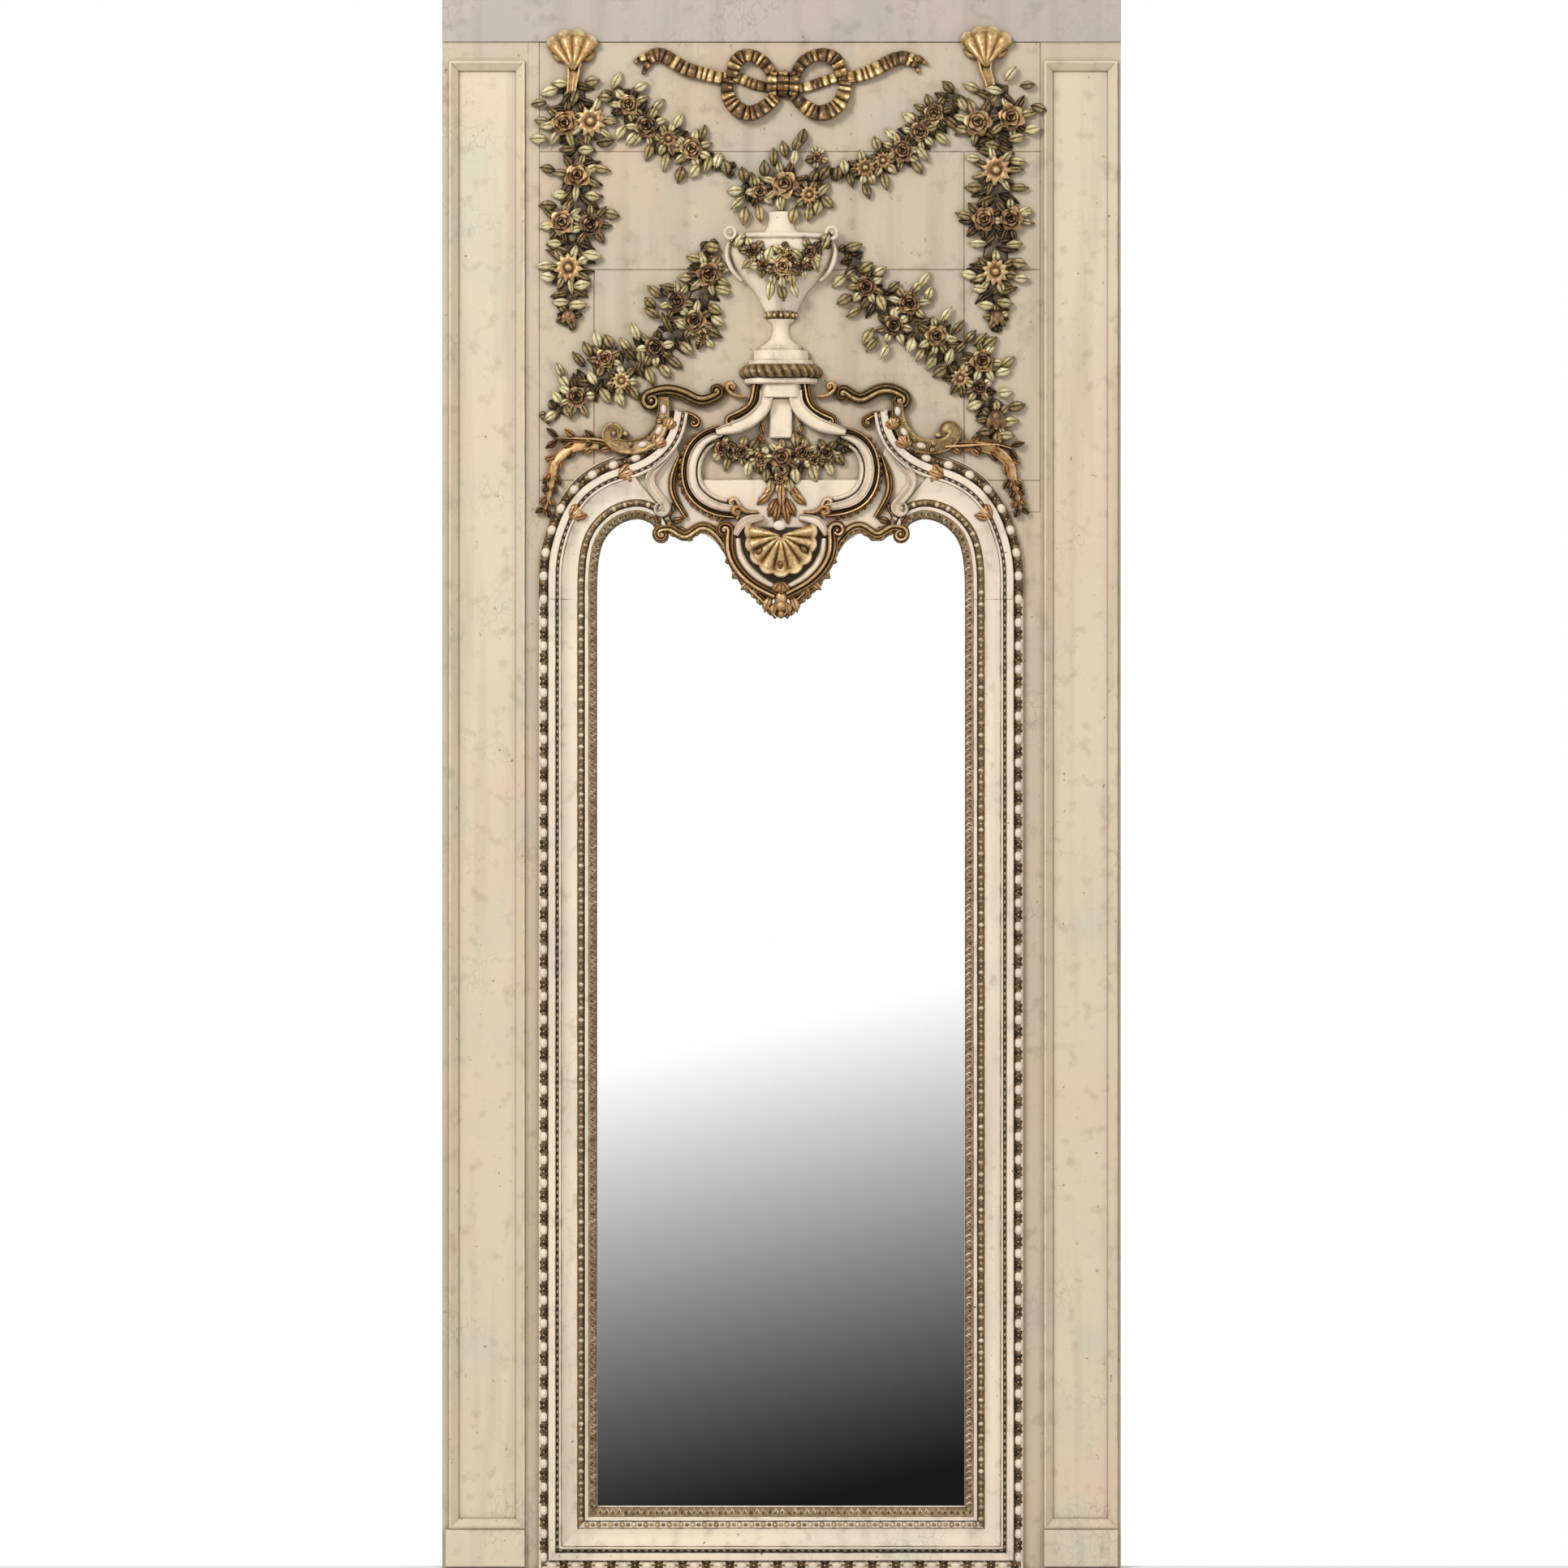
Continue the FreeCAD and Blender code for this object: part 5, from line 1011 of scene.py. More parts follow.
def s_scrolls():
    """The S-scrolls over the arch, with eggs and leaf tips, and the acanthus beyond."""
    for side, way in (("left", 1), ("right", -1)):
        gilt, copper, eggs = Carving(), Carving(), Carving()
        top, down, blade, lobe, tail, knob = S_LINES[side]
        flourish(gilt, route(*top), 7.8, 22 * MM, REEDED, 3 * MM, 0.5, (0.6, 1, 1, 0.8),
                 (6, 0.8, 1), (8, 1.1, way))
        flourish(gilt, route(*down), 9.6, 20 * MM, FLUTED, 3 * MM, 0.45, (0.7, 1, 1, 0.8, 0.5),
                 None, (8.5, 1.1, -way))
        body = fair(route(*down), 60)
        for index in (8, 22, 36):
            heading = heading_at(body, index)
            ball(eggs, body[index], 17 * MM, 6.4 * PX, 4.2 * PX, 8 * MM, heading)
            for lean in (-1, 1):
                leaf(gilt, body[index + 7], heading + lean * 1.35, 12 * MM, 9 * MM, 19 * MM, 6 * MM,
                     tone=0.75)
        eggs.piece(side + "_scroll_eggs", CREAM_MOULD, "cream_paint")
        feathers(gilt, fair(route(*down), 40)[6:34], -way, 14 * MM, 9 * MM, 13 * MM, 8 * MM, 9 * MM,
                 0.35, 0.45)
        feathers(gilt, fair(route(*top), 30)[4:26], -1, 11 * MM, 8 * MM, 13 * MM, 10 * MM, 8 * MM,
                 0.4, 0.4)
        flourish(copper, route(*blade), 5.4, 17 * MM, REEDED, 3 * MM, 0.6, (1.2, 1, 0.9, 0.35))
        flourish(copper, route(*lobe[:-1], *tail), 6.6, 15 * MM, FLUTED, 2 * MM, 0.5,
                 (0.9, 1, 1, 0.9, 0.6, 0.3))
        for road, reach in ((blade, 25), (lobe, 23), (tail, 16)):
            run = fair(route(*road), 40)
            for index, tone in ((3, 0.6), (15, 0.05), (27, 0.5), (38, -0.1)):
                ahead = run[index + 1] - run[index]
                across = np.array((-ahead[1], ahead[0])) / np.linalg.norm(ahead)
                for lean in (-1, 1):
                    leaf(copper, run[index] + across * lean * 4 * MM,
                         heading_at(run, index) + lean * 0.6, reach * MM, 12 * MM, 5 * MM, 14 * MM,
                         lean * -0.6, tone, curl=2 * MM)
        ball(gilt, at(*knob), 12 * MM, 7 * MM, 6 * MM, 8 * MM, tone=0.6)
        gilt.piece(side + "_crest_s_scroll", SCROLL_GOLD, "bronzed_gilding", side + "_s_scroll")
        copper.piece(side + "_crest_acanthus", COPPER, "bronzed_gilding")


def spandrels():
    """Curls at the ends of the arch, leaf wraps on its courses, the crest's lower edge."""
    cream, gilt, wraps = Carving(), Carving(), Carving()
    for side in (-1, 1):
        here = functools.partial(beside, -side)
        flourish(cream, here((828, 556), (818, 568), (806, 580), (801, 593), (808, 608),
                             (820, 622)), 6, 22 * MM, HOLLOWED, 8 * MM, 0.7, (0.4, 1, 1, 0.8),
                 None, (7, 0.9, side))
        flourish(gilt, here((838, 562), (831, 582), (829, 604), (836, 622), (846, 638)), 5.4,
                 17 * MM, REEDED, 8 * MM, 0.5, (0.4, 1, 0.9, 0.6))
        flourish(gilt, here((858, 517), (846, 511), (834, 514), (828, 526), (824, 542)), 4.6,
                 15 * MM, REEDED, 3 * MM, 0.5, (0.5, 1, 0.6), (5, 0.8, side))
        edge = here((814, 652), (828, 652), (844, 660), (862, 650), (880, 655), (895, 674),
                    (905, 694), (921, 720), (942, 741), (958, 760))
        flourish(gilt, edge, 6.4, 16 * MM, REEDED, 6 * MM, 0.6, (0.8, 1, 1, 1, 0.7), (7, 1.0,
                 -side))
        rim = fair(edge, 60)
        feathers(gilt, rim[4:56], side, 14 * MM, 13 * MM, 13 * MM, 8 * MM, 10 * MM, 0.6, 0.45)
        feathers(gilt, rim[8:50], -side, 11 * MM, 11 * MM, 15 * MM, 8 * MM, 9 * MM, 0.35, 0.45)
        for px, py, turn in ((820, 640, 1.0), (828, 643, 0.2), (815, 646, 2.2), (826, 634, 1.3),
                             (812, 636, 2.0), (834, 650, -0.5)):
            leaf(gilt, here((px, py))[0], faced(-side, turn), 22 * MM, 13 * MM, 12 * MM, 9 * MM,
                 tone=0.2, lobes=2)
        for px, py, turn, reach in ((703, 640, 0.7, 32), (762, 588, 0.35, 32), (806, 552, 0.9, 28),
                                    (822, 530, 1.2, 24)):
            for bend, tone in ((-0.5, 0.4), (0, 0.7), (0.5, 0.4)):
                leaf(wraps, here((px, py))[0], faced(-side, turn + bend), reach * MM, 15 * MM,
                     17 * MM, 8 * MM, tone=tone, lobes=2)
        sweep(cream, fair(here((688, 622), (704, 597), (727, 577), (756, 563)), 40), TORUS,
              1.2 * PX, 4 * MM, 0.0, 0.6)
    cream.piece("spandrel_curls", CREAM_MOULD, "cream_paint")
    gilt.piece("crest_lower_edge", WARM_GOLD, "old_gilding")
    wraps.piece("arch_leaf_wraps", COPPER, "bronzed_gilding")


def scallop(into, hinge, facing, along, across, rise, ribs, spread, base, tone, cut):
    """A ribbed shell, dished towards a curled lip."""
    turn = np.linspace(-spread / 2, spread / 2, ribs * 8 + 1)
    wave = np.abs(np.cos(np.linspace(0, ribs * math.pi, ribs * 8 + 1) + math.pi / 2))
    reach = 1 / np.sqrt((np.sin(turn) / across) ** 2 + (np.cos(turn) / along) ** 2)
    reach = reach * (0.94 + 0.07 * wave)
    radial = np.array([0.05, 0.16, 0.3, 0.45, 0.6, 0.74, 0.85, 0.92, 0.97, 1.0])
    dish = np.array([0.75, 0.95, 1, 0.9, 0.74, 0.62, 0.62, 0.78, 0.84, 0.6])
    flute = np.array([0, 0.06, 0.14, 0.22, 0.28, 0.3, 0.28, 0.2, 0.14, 0.1])
    r = radial[:, None] * reach[None]
    angle = facing + turn[None]
    z = base + rise * (dish[:, None] - flute[:, None] * (1 - wave[None]) * cut)
    points = np.stack([hinge[0] + np.cos(angle) * r, hinge[1] + np.sin(angle) * r, z], -1)
    # Painted light: rib crests and the curled lip bright as highlight, the flutes dark as shade.
    lip = np.interp(radial, (0, 0.85, 0.95, 1), (0.1, 0.15, 0.6, 0.55))[:, None]
    add_slab(into, points, min(rise * 0.45, base + rise * 0.3),
             np.clip(wave[None] * 0.55 + lip, 0, 1), tone)


def cartouche():
    """The shield below the crest: shell with three slots shown as dark eggs of painted shade, cream
    fillets, gilt scrolls, pendant.
    """
    shell, gilt, cream = Carving(), Carving(), Carving()
    scallop(shell, (AXIS, at(0, 661)[1]), -math.pi / 2, 51 * PX, 45 * PX, 36 * MM, 9,
            math.radians(222), 10 * MM, 0.95, 0.75)
    # The three slots are dark eggs: painted shade standing for openings in the shell.
    for px, py, turn in ((936, 680, -2.4), (990, 678, -0.75), (961.5, 696, -1.57)):
        ball(shell, at(px, py), 32 * MM, 5.8 * PX, 3.6 * PX, 7 * MM, turn, -2)
    shell.piece("cartouche_scallop", WARM_GOLD, "old_gilding", "cartouche_shell")
    ball(cream, at(960.5, 649), 46 * MM, 8 * PX, 6 * PX, 6 * MM)
    for side in (-1, 1):
        here = functools.partial(beside, -side)
        flourish(cream, here((906, 660), (913, 648), (924, 641), (940, 638)), 6, 26 * MM, FLUTED,
                 8 * MM, 0.7, (0.6, 1, 0.6))
        flourish(cream, here((909, 664), (912, 684), (922, 701), (938, 715), (955, 724)), 5.4,
                 20 * MM, TORUS, 8 * MM, 0.7, (0.7, 1, 1, 0.6))
        flourish(gilt, here((900, 655), (900, 680), (910, 702), (929, 720), (955, 734)), 7.2,
                 27 * MM, REEDED, 8 * MM, 0.6, (0.8, 1, 1, 0.8), (7, 0.9, -side))
        feathers(gilt, here((901, 664), (904, 690), (920, 710), (942, 726)), side, 11 * MM,
                 12 * MM, 13 * MM, 14 * MM, 10 * MM, 0.6, 0.5)
        flourish(gilt, here((934, 632), (922, 632), (912, 626)), 4.6, 22 * MM, TORUS, 8 * MM, 0.3,
                 (0.6, 1, 0.7), None, (6, 0.9, -side))
        for px, py, turn, reach in ((904, 688, -2.7, 17), (912, 704, -2.45, 19),
                                    (931, 713, -2.5, 33), (938, 719, -2.2, 27),
                                    (950, 734, -1.95, 32), (956, 742, -1.8, 25)):
            leaf(gilt, here((px, py))[0], faced(-side, turn), reach * MM, 15 * MM, 14 * MM,
                 10 * MM, side * 0.3, 0.35 + 0.012 * reach)
        leaf(cream, here((955, 742))[0], faced(-side, -1.2), 14 * MM, 7 * MM, 16 * MM, 6 * MM)
    for index, (py, radius) in enumerate(((736, 9), (747, 7), (757, 4.6))):
        ball(gilt, (AXIS, at(0, py)[1]), 17 * MM, radius * PX * 1.1, radius * PX, 9 * MM,
             -math.pi / 2, tone=0.6 - index * 0.15)
    for turn in (-2.2, -1.57, -0.94):
        leaf(gilt, (AXIS, at(0, 717)[1]), turn, 26 * MM, 15 * MM, 22 * MM, 9 * MM, tone=0.35,
             lobes=3)
    # A ground behind the scrolls, coloured darkest: painted shade in the gaps between them.
    ground = route((905, 650), (902, 684), (920, 712), (946, 730), (962, 736), (979, 730),
                   (1004, 712), (1022, 684), (1019, 650))
    rings = np.array([np.c_[ground, np.full(len(ground), rise)] for rise in (1 * MM, 12 * MM)])
    corners = list(range(len(ground)))
    gilt.add(rings, quads(2, len(ground), wrap=True)
             + [corners[::-1], [corner + len(ground) for corner in corners]], 0.0, 0.0)
    gilt.piece("cartouche_scrolls", COPPER, "old_gilding", "cartouche_frame")
    cream.piece("cartouche_fillets", CREAM_MOULD, "cream_paint")


crest()
s_scrolls()
spandrels()
cartouche()


# ---------------------------------------------------------------- ribbon bow and pilaster shells
RIBBON = np.array([(-1, 0), (-1, 0.7), (-0.82, 1), (-0.4, 0.84), (0, 0.78), (0.4, 0.84), (0.82, 1),
                   (1, 0.7), (1, 0)])


def ribbon(into, points, half, rise, base=0.0, taper=(1, 1), drape=0.0):
    """A crimped ribbon: sharp folds across its whole width."""
    line = fair(points, int(length_of(points) / (0.9 * MM)))
    count = len(line)
    phase = np.linspace(0, max(2, round(length_of(line) / (12 * MM))), count)
    phase = phase + 0.22 * np.sin(phase * 1.7)
    wave = np.abs(np.sin(phase * math.pi)) ** 0.6
    # Painted light: each fold gets a random sheen, its crest bright as highlight and its crease dark
    # as shade.
    shine = RNG.uniform(0.25, 1.0, int(phase[-1]) + 3)[phase.astype(int)]
    share = tapered(taper, count)
    hang = base + drape * np.sin(np.linspace(0, math.pi, count))
    worn = np.clip((wave * shine)[:, None] * (0.5 + 0.5 * RIBBON[None, :, 1]), 0, 1)
    sweep(into, line, RIBBON, half * PX * share * (0.93 + 0.07 * wave), rise * (0.62 + 0.38 * wave),
          hang, 0.5, worn)


def bow():
    """The knot, and on each side a forked tail, a cross band and two loops."""
    knot = Carving()
    ball(knot, at(965, 104), 6 * MM, 14 * PX, 15 * PX, 10 * MM, tone=0.1)
    for px, drape, half in ((954, 9, 7), (976, 9, 7), (965, 14, 8.5)):
        ribbon(knot, route((px, 88), (px + (px - 965) * 0.25, 104), (px - 1, 121)), half, 10 * MM,
               4 * MM, (0.6, 1, 0.6), drape * MM)
    knot.piece("ribbon_knot", RIBBON_GOLD, "old_gilding", "bow_knot")
    sides = {
        "left": (((897, 97), (882, 96), (868, 92), (848, 87), (830, 77), (811, 68), (798, 74)),
                 ((803, 70), (792, 72), (781, 78)), ((803, 72), (797, 82), (792, 92)),
                 ((896, 95), (908, 96), (926, 103), (950, 109)),
                 (((953, 98), (946, 84), (934, 73), (919, 70), (907, 78), (902, 96)),
                  ((899, 98), (896, 112), (903, 130), (921, 141), (941, 134), (957, 119)))),
        "right": (((1036, 97), (1050, 96), (1075, 88), (1098, 76), (1114, 72), (1124, 76)),
                  ((1119, 73), (1131, 73), (1142, 80)), ((1119, 73), (1127, 80), (1131, 90)),
                  ((1038, 95), (1026, 97), (1006, 104), (983, 110)),
                  (((979, 96), (986, 82), (999, 72), (1014, 69), (1029, 75), (1037, 95)),
                   ((976, 118), (994, 134), (1011, 141), (1030, 133), (1039, 118), (1042, 99)))),
    }
    for side, (tail, fork, prong, cross, loops) in sides.items():
        into = Carving()
        ribbon(into, route(*tail), 8.8, 11 * MM, 2 * MM, (0.8, 0.9, 1, 1, 0.9), 6 * MM)
        ribbon(into, route(*cross), 6.6, 8 * MM, 2 * MM, (0.8, 1, 1, 0.8))
        ribbon(into, route(*fork), 5, 9 * MM, 4 * MM, (1, 0.9, 0.4))
        ribbon(into, route(*prong), 4.8, 8 * MM, 3 * MM, (1, 0.9, 0.4))
        for index, loop in enumerate(loops):
            ribbon(into, route(*loop), 9.2, 12 * MM, 3 * MM + index * 2 * MM,
                   (0.7, 0.85, 0.85, 1, 0.8) if index == 0 else (0.7, 1, 1.1, 1, 0.8), 8 * MM)
        into.piece(side + "_ribbon", RIBBON_GOLD, "old_gilding", side + "_bow")


def pilaster_shells():
    """A flared shell with its stem and leaves at the top of each side drop."""
    for side, hinge, facing, foot in (("left", (707, 82), 1.62, (704, 116)),
                                      ("right", (1214, 78), 1.55, (1220, 107))):
        into = Carving()
        heel = (hinge[0], hinge[1] + 8)
        scallop(into, at(*heel), facing, 53 * PX, 46 * PX, 24 * MM, 4, math.radians(88), 3 * MM,
                0.8, 0.6)
        line = route((hinge[0], hinge[1] - 10), (hinge[0], hinge[1] + 8),
                     ((hinge[0] + foot[0]) / 2, (hinge[1] + foot[1]) / 2 + 3), foot)
        flourish(into, line, 8.6, 19 * MM, HOLLOWED, 1 * MM, 0.75, (1.4, 1, 0.8, 0.7))
        for way in (-1, 1):
            leaf(into, at(hinge[0] + way * 8, hinge[1] - 8), math.pi / 2 - way * 1.15, 31 * MM,
                 21 * MM, 3 * MM, 15 * MM, tone=0.7, curl=-4 * MM)
            leaf(into, at(foot[0], foot[1] - 6), -math.pi / 2 + way * 0.6, 16 * MM, 12 * MM,
                 3 * MM, 9 * MM, tone=0.8)
        into.piece(side + "_shell", WARM_GOLD, "old_gilding", side + "_pilaster_shell")


bow()
pilaster_shells()


# ---------------------------------------------------------------- garlands
BULK = np.array([(-1, 0), (-0.85, 0.7), (-0.4, 1), (0.4, 1), (0.85, 0.7), (1, 0)])


def over_bowl(point):
    """How far the urn's bowl stands in front of the field at a point."""
    half = 65 * PX
    share = min(1.0, abs(point[0] - AXIS) / half)
    return half * BOWL_DEPTH * 0.92 * math.sqrt(max(0.0, 1 - share ** 2))


def garland(name, line, flowers, leaves, width, taper, lift=lambda point: 0.0):
    """A dense run of leaves with flowers on top, over the solid of the same name.

    Flowers are (kind, tone, (column, row, radius), ...), leaves (column, row), all in pixels.
    """
    foliage, heads = Carving(), Carving()
    path = fair(route(*line), max(12, int(length_of(route(*line)) / (4 * MM))))
    share = tapered(taper, len(path))
    lifts = np.array([lift(point) for point in path])
    # The core is coloured dark, as painted shade between the leaves.
    sweep(foliage, path, BULK, 0.2 * width * PX * share, 9 * MM * (0.5 + 0.5 * share), lifts, 0.3,
          0.35)
    count = max(4, int(length_of(path) / (13 * MM)))
    places = resampled(path, count)
    for place, way, broad in zip(places, np.gradient(places, axis=0), tapered(taper, count)):
        heading = math.atan2(way[1], way[0])
        for side in (-1, 1):
            reach = width / 2 * PX * broad * RNG.uniform(0.7, 0.95)
            leaf(foliage, place + RNG.normal(0, 2 * MM, 2), heading + side * RNG.uniform(0.5, 1.9),
                 max(reach, 14 * MM), RNG.uniform(13, 17) * MM,
                 lift(place) + RNG.uniform(1, 5) * MM, RNG.uniform(8, 12) * MM,
                 RNG.uniform(-0.25, 0.25), RNG.uniform(-0.2, 0.45), 0, RNG.uniform(-2, 2) * MM)
    for px, py in leaves:
        centre = np.array(at(px, py))
        root = path[np.argmin(np.linalg.norm(path - centre, axis=1))]
        away = centre - root
        if np.linalg.norm(away) < 6 * MM:
            away = np.array([math.cos(px), math.sin(px)])
        heading = math.atan2(away[1], away[0]) + RNG.uniform(-0.25, 0.25)
        span = RNG.uniform(28, 36) * MM
        start = centre - span * 0.5 * np.array([math.cos(heading), math.sin(heading)])
        leaf(foliage, start, heading, span, RNG.uniform(15, 20) * MM,
             lift(centre) + RNG.uniform(6, 10) * MM, RNG.uniform(10, 14) * MM,
             RNG.uniform(-0.35, 0.35), RNG.uniform(0.35, 1.1), 0, RNG.uniform(-3, 1) * MM)
    blooms = [(kind, tone, *bloom) for kind, tone, *group in flowers for bloom in group]
    for kind, tone, px, py, radius in blooms:
        centre = np.array(at(px, py))
        low = lift(centre)
        whorl = 7 if radius > 12 else 5
        for turn in (np.arange(whorl) + RNG.uniform(0, 1)) * math.tau / whorl:
            turn += RNG.uniform(-0.2, 0.2)
            heel = centre + radius * PX * 0.5 * np.array([math.cos(turn), math.sin(turn)])
            leaf(foliage, heel, turn, radius * PX * RNG.uniform(1.05, 1.35),
                 RNG.uniform(12, 17) * MM, low + RNG.uniform(5, 9) * MM, 11 * MM,
                 RNG.uniform(-0.3, 0.3), RNG.uniform(0.1, 1.15), 0, -2 * MM)
        # A dark ball under each flower: painted shade behind its petals.
        ball(heads, centre, low + 5 * MM, radius * PX * 0.5, radius * PX * 0.5, 8 * MM, tone=0.0)
        FLOWERS[kind](heads, centre, radius * PX * 0.95, low + 9 * MM,
                      min(20 * MM, radius * PX * 0.8), tone)
    foliage.piece(name + "_leaves", LEAF_GOLD, "bronzed_gilding", name)
    heads.piece(name + "_flowers", FLOWER_GOLD, "bronzed_gilding")


garland("left_drop",
        ((706, 104), (710, 150), (712, 217), (711, 275), (703, 331), (701, 400)),
        (("rose", 0.5, (696, 153, 19), (712, 217, 19), (693, 275, 17)),
         ("daisy", 0.9, (728, 151, 20), (701, 331, 19)),
         ("rose", 0.3, (728, 278, 17)),
         ("bud", 0.5, (701, 390, 10))),
        ((677, 114), (730, 101), (675, 209), (741, 209), (675, 254), (754, 265), (730, 315),
         (672, 328), (674, 342), (717, 352), (691, 373), (712, 376), (668, 150), (752, 150),
         (664, 128), (746, 122), (700, 184), (722, 186), (690, 240), (730, 243), (684, 300),
         (708, 122), (690, 104), (746, 176), (664, 172)),
        84, (0.75, 1, 0.55, 1, 0.6, 0.95, 0.8, 0.25))
garland("right_drop",
        ((1230, 104), (1226, 150), (1227, 212), (1228, 271), (1226, 336), (1228, 402)),
        (("rose", 0.5, (1204, 152, 19), (1245, 146, 19), (1212, 271, 17)),
         ("daisy", 0.85, (1227, 211, 20), (1226, 336, 18)),
         ("rose", 0.35, (1245, 271, 17)),
         ("bud", 0.5, (1228, 391, 10))),
        ((1245, 92), (1266, 106), (1196, 108), (1280, 134), (1253, 171), (1188, 266), (1204, 301),
         (1193, 339), (1255, 325), (1258, 344), (1215, 377), (1238, 374), (1183, 128), (1186, 160),
         (1272, 160), (1198, 196), (1254, 200), (1200, 232), (1256, 232), (1262, 262), (1250, 302),
         (1224, 112), (1222, 180), (1206, 356)),
        84, (0.75, 1, 0.6, 1, 0.55, 0.95, 0.8, 0.25))
garland("left_top_swag", ((756, 112), (796, 152), (852, 186), (900, 209)),
        (("rose", 0.5, (775, 130, 15), (852, 185, 16)),
         ("rose", 0.3, (797, 157, 17)),
         ("daisy", 0.6, (824, 172, 13))),
        ((765, 164), (778, 172), (812, 130), (836, 150), (820, 200), (838, 216), (866, 164),
         (872, 204), (884, 200), (894, 207), (760, 100), (790, 108), (800, 188), (856, 212)),
        56, (0.9, 1, 1, 0.7, 0.2))
garland("right_top_swag", ((1178, 117), (1140, 156), (1092, 196), (1028, 214)),
        (("rose", 0.5, (1150, 141, 15), (1112, 187, 16)),
         ("rose", 0.35, (1133, 164, 15)),
         ("daisy", 0.6, (1066, 208, 14), (1088, 199, 12))),
        ((1168, 108), (1172, 152), (1160, 172), (1120, 146), (1098, 166), (1136, 190), (1080, 178),
         (1090, 224), (1068, 236), (1048, 222), (1040, 206), (1032, 214), (1186, 130), (1130, 206)),
        56, (0.9, 1, 1, 0.7, 0.2))
garland("bouquet", ((918, 238), (945, 232), (975, 230), (1010, 240)),
        (("rose", 0.55, (966, 228, 19)),
         ("rose", 0.4, (936.5, 236.5, 12)),
         ("daisy", 0.8, (997, 241, 13)),
         ("rose", 0.4, (1007, 195, 9))),
        ((989, 169), (966, 184), (979, 195), (953, 194), (942, 209), (916, 216), (906, 236),
         (909, 251), (936, 264), (917, 267), (961, 253), (997, 264), (1008, 257), (1019, 250),
         (1014, 235), (1003, 217), (982, 178), (1016, 214), (928, 224), (978, 266)),
        56, (0.6, 1, 1, 0.7))
garland("urn_festoon",
        ((908, 296), (924, 312), (945, 328), (964, 334), (984, 329), (1004, 313), (1020, 297)),
        (("rose", 0.75, (964, 332, 14)),
         ("rose", 0.9, (964, 314, 9)),
         ("rose", 0.25, (928, 312, 11), (998, 314, 11), (940, 330, 9), (988, 331, 9))),
        ((912, 298), (1016, 300), (922, 327), (1004, 328), (952, 348), (976, 348), (964, 364),
         (949, 361), (979, 361), (964, 352), (948, 316), (980, 316)),
        34, (0.5, 1, 1, 1, 0.5), over_bowl)
garland("left_urn_garland",
        ((871, 300), (869, 340), (854, 385), (819, 424), (766, 456), (711, 485), (678, 512)),
        (("rose", 0.35, (873, 339, 17), (856, 396, 16), (711, 490, 15)),
         ("rose", 0.2, (834, 372, 15), (807, 429, 15)),
         ("rose", 0.5, (746, 443, 14), (866, 414, 11)),
         ("daisy", 0.9, (766, 470, 13))),
        ((856, 319), (844, 343), (824, 355), (807, 360), (801, 374), (803, 386), (891, 358),
         (881, 382), (879, 411), (783, 409), (736, 419), (750, 421), (724, 431), (713, 443),
         (695, 470), (687, 490), (746, 488), (781, 484), (820, 458), (832, 447), (801, 464),
         (679, 513), (878, 306), (892, 330), (838, 400), (790, 440), (770, 424), (730, 466),
         (700, 508), (764, 492), (846, 430), (690, 456), (884, 396)),
        66, (0.45, 0.9, 1, 1, 0.95, 0.85, 0.4))
garland("right_urn_garland",
        ((1043, 303), (1064, 345), (1098, 384), (1140, 412), (1184, 448), (1210, 484), (1229, 536)),
        (("rose", 0.25, (1067, 354, 15), (1101, 402, 15)),
         ("rose", 0.45, (1120, 375, 16), (1154, 415, 16)),
         ("rose", 0.35, (1210, 446, 17)),
         ("daisy", 0.8, (1183, 467, 13)),
         ("rose", 0.15, (1206, 478, 12)),
         ("bud", 0.4, (1227, 516, 14))),
        ((1052, 305), (1067, 330), (1048, 339), (1084, 335), (1101, 354), (1130, 354), (1139, 345),
         (1145, 362), (1034, 347), (1040, 370), (1069, 415), (1074, 425), (1090, 434), (1133, 438),
         (1196, 415), (1208, 419), (1219, 423), (1242, 446), (1236, 459), (1238, 484), (1252, 501),
         (1240, 537), (1147, 448), (1158, 459), (1229, 541), (1052, 386), (1166, 388), (1180, 404),
         (1122, 426), (1086, 374), (1200, 500), (1214, 532), (1170, 440), (1244, 520)),
        66, (0.45, 0.9, 1, 1, 0.95, 0.85, 0.4))
garland("crest_swag",
        ((884, 544), (913, 560), (940, 570), (963, 573), (990, 570), (1019, 560), (1046, 546)),
        (("rose", 0.4, (963, 564, 15)),
         ("rose", 0.6, (961, 591, 10)),
         ("rose", 0.3, (913, 558, 12), (890, 553, 11), (989, 558, 12), (1019, 560, 12)),
         ("rose", 0.5, (938, 566, 11), (1003, 568, 9))),
        ((1046, 546), (1034, 566), (896, 572), (922, 578), (944, 586), (980, 586), (1002, 584),
         (1022, 578), (880, 545), (950, 600), (974, 600), (930, 548), (980, 542)),
        40, (0.4, 0.9, 1, 1, 0.9, 0.4))


def spray():
    """The feathered acanthus under the crest's flowers."""
    into = Carving()
    for px, py, turn, reach in ((963, 592, -1.57, 46), (955, 596, -2.2, 32), (971, 596, -0.94, 32),
                                (952, 606, -2.45, 30), (974, 606, -0.7, 30), (957, 614, -2.0, 30),
                                (969, 614, -1.14, 30), (960, 618, -1.75, 34), (966, 618, -1.4, 34)):
        leaf(into, at(px, py), turn, reach * PX * 0.85, 16 * MM, 9 * MM, 12 * MM,
             tone=RNG.uniform(0.3, 0.7), lobes=4)
    into.piece("crest_spray", COPPER, "bronzed_gilding")


spray()


# ---------------------------------------------------------------- floor, light and camera
WHITE = (1, 1, 1, 1)
FLOOR_GREY = (0.86, 0.86, 0.86, 1)
FLOOR_HALF, FLOOR_DEPTH = 1.6, 1.9
DISTANCE = 9.35           # from the camera to the field
SENSOR = 36


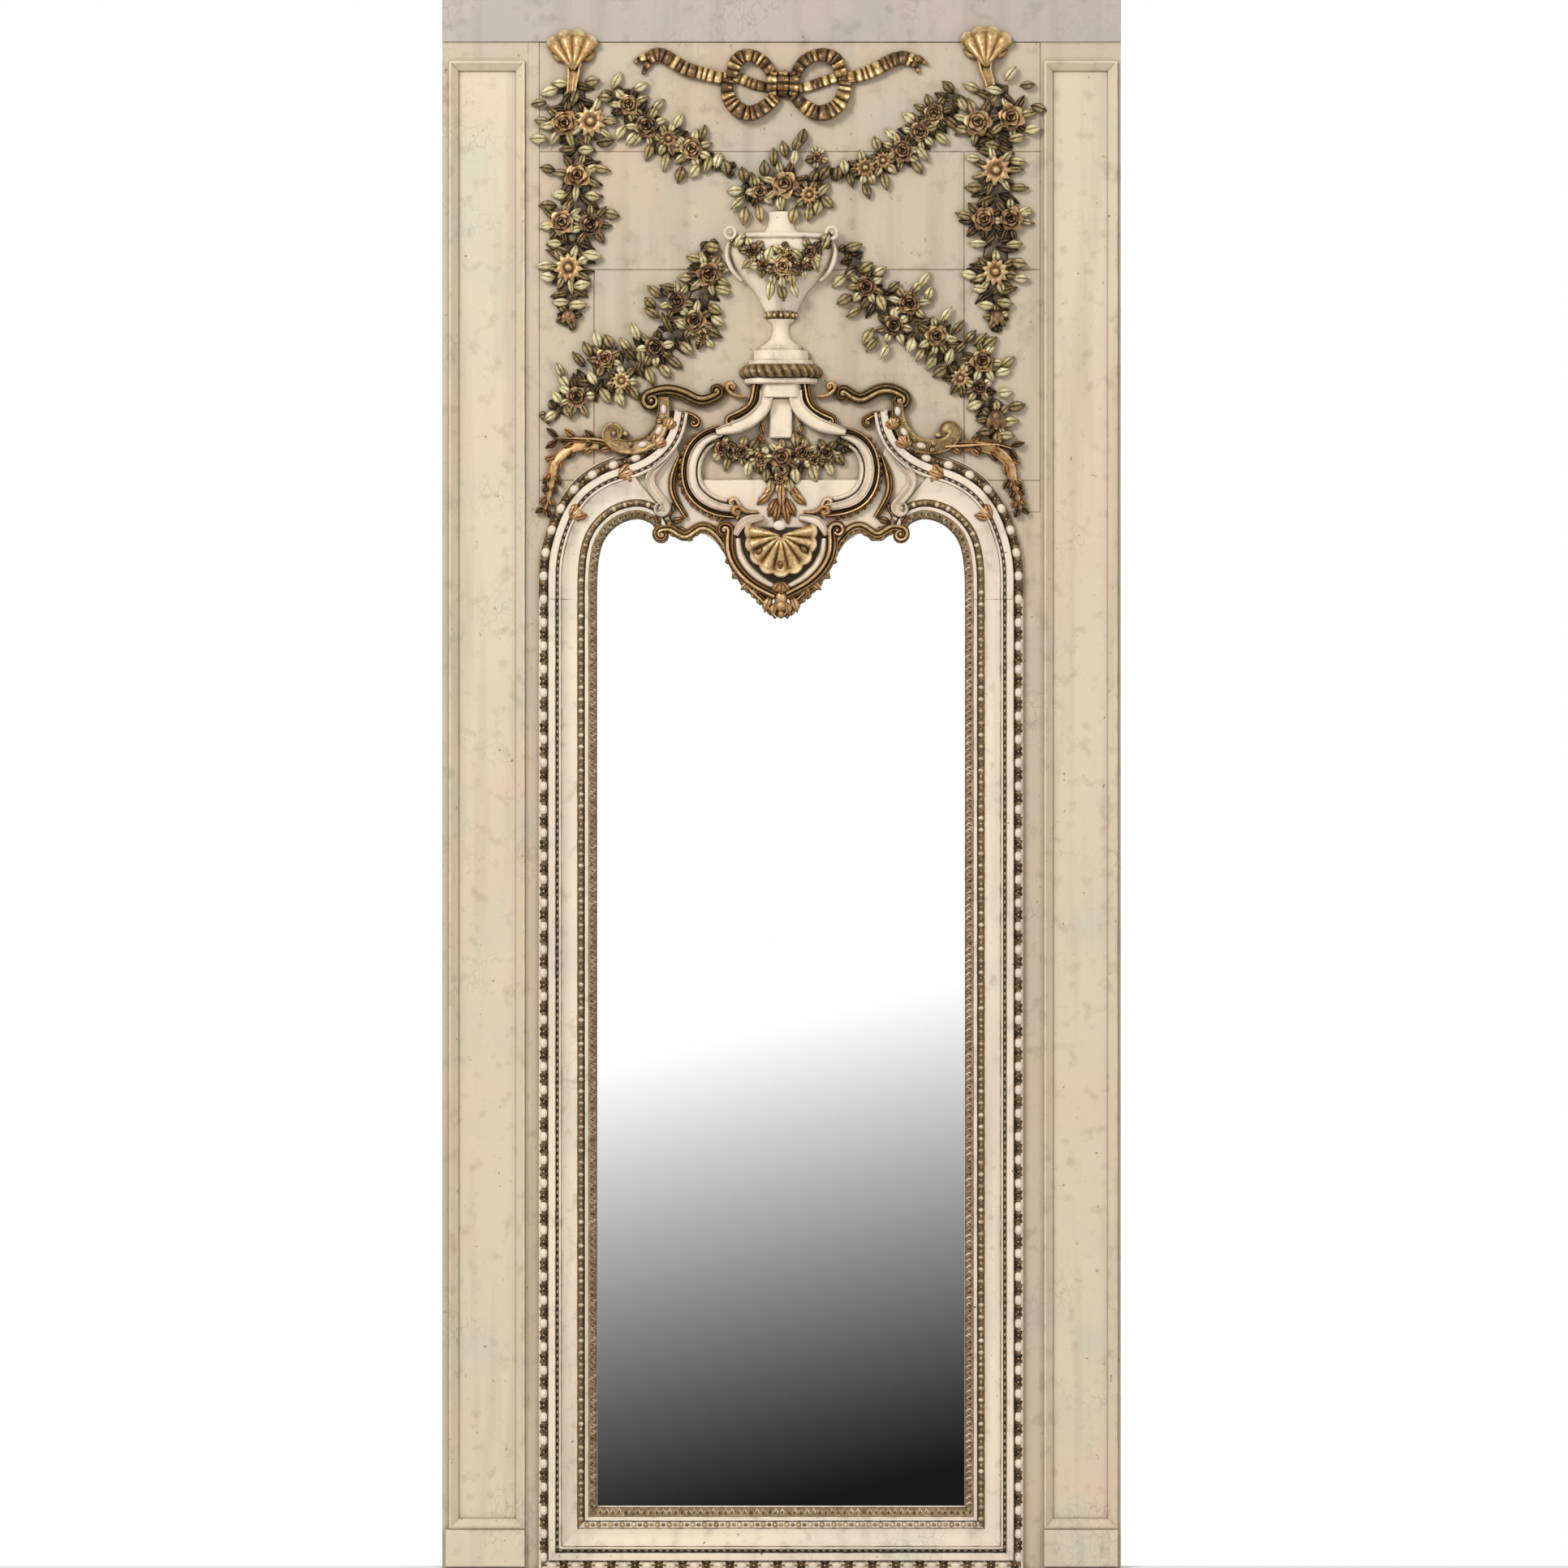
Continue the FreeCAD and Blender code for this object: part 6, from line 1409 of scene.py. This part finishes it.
def surroundings():
    """White to the eye; for gloss a bright room that darkens downwards, as the plate shows it."""
    world = bpy.data.worlds.new("room")
    bpy.context.scene.world = world
    world.use_nodes = True
    tree = world.node_tree
    tree.nodes.clear()
    way = node(tree, "SeparateXYZ", {0: node(tree, "TexCoord").outputs["Generated"]})
    tilt = ramp(tree, way.outputs["X"], -0.05, 0.05, 0.012, -0.012)
    level = added(tree, way.outputs["Z"], tilt)
    shown = ramp(tree, level, -0.1355, -0.046, 0.125, 1.0)
    plate = node(tree, "Math", {0: shown, 1: 2.2}, operation="POWER")
    seen = added(tree, plate.outputs[0], ramp(tree, level, -0.15, -0.4, 0, 0.3))
    ray = node(tree, "LightPath")
    gloss = node(tree, "Background", {"Color": seen})
    soft = node(tree, "Background", {"Color": WHITE, "Strength": 0.62})
    backdrop = node(tree, "Background", {"Color": WHITE})
    first = node(tree, "MixShader", {0: ray.outputs["Is Glossy Ray"], 1: soft.outputs[0],
                                     2: gloss.outputs[0]})
    direct = node(tree, "Math", {0: ray.outputs["Is Camera Ray"],
                                 1: ray.outputs["Is Transmission Ray"]}, operation="MAXIMUM")
    last = node(tree, "MixShader", {0: direct.outputs[0], 1: first.outputs[0],
                                    2: backdrop.outputs[0]})
    node(tree, "OutputWorld", {"Surface": last.outputs[0]})


def lamp(name, place, aim, extent, energy):
    """A square lamp turned towards a point."""
    light = bpy.data.lights.new(name, "AREA")
    light.size, light.energy = extent, energy
    thing = linked(name, light)
    thing.location = place
    toward = Vector(aim) - Vector(place)
    thing.rotation_euler = toward.to_track_quat("-Z", "Y").to_euler()


def floor():
    """A pale floor in front of the wall plane."""
    mesh = bpy.data.meshes.new("floor")
    mesh.from_pydata([(-FLOOR_HALF, -FLOOR_DEPTH, 0), (FLOOR_HALF, -FLOOR_DEPTH, 0),
                      (FLOOR_HALF, 0, 0), (-FLOOR_HALF, 0, 0)], [], [(0, 1, 2, 3)])
    thing = linked("floor", mesh)
    material, _, shader, _ = started("floor_white", 0.8)
    shader.inputs["Base Color"].default_value = FLOOR_GREY
    mesh.materials.append(material)
    thing.visible_glossy = False


surroundings()
floor()
lamp("window", (-2.6, -4.6, 4.6), (0, 0, 1.6), 1.6, 190)
lamp("room", (3.2, -5.5, 2.4), (0, 0, 1.3), 3.5, 50)

camera = linked("camera", bpy.data.cameras.new("camera"))
camera.data.sensor_width = SENSOR
camera.data.lens = SENSOR * DISTANCE / (PHOTO_SIDE * PX)
column, row = at(PHOTO_SIDE / 2, PHOTO_SIDE / 2)
camera.location = (column, -FIELD - DISTANCE, row)
camera.rotation_euler = (math.pi / 2, 0, 0)
bpy.context.scene.camera = camera
bpy.context.scene.view_settings.view_transform = "Standard"
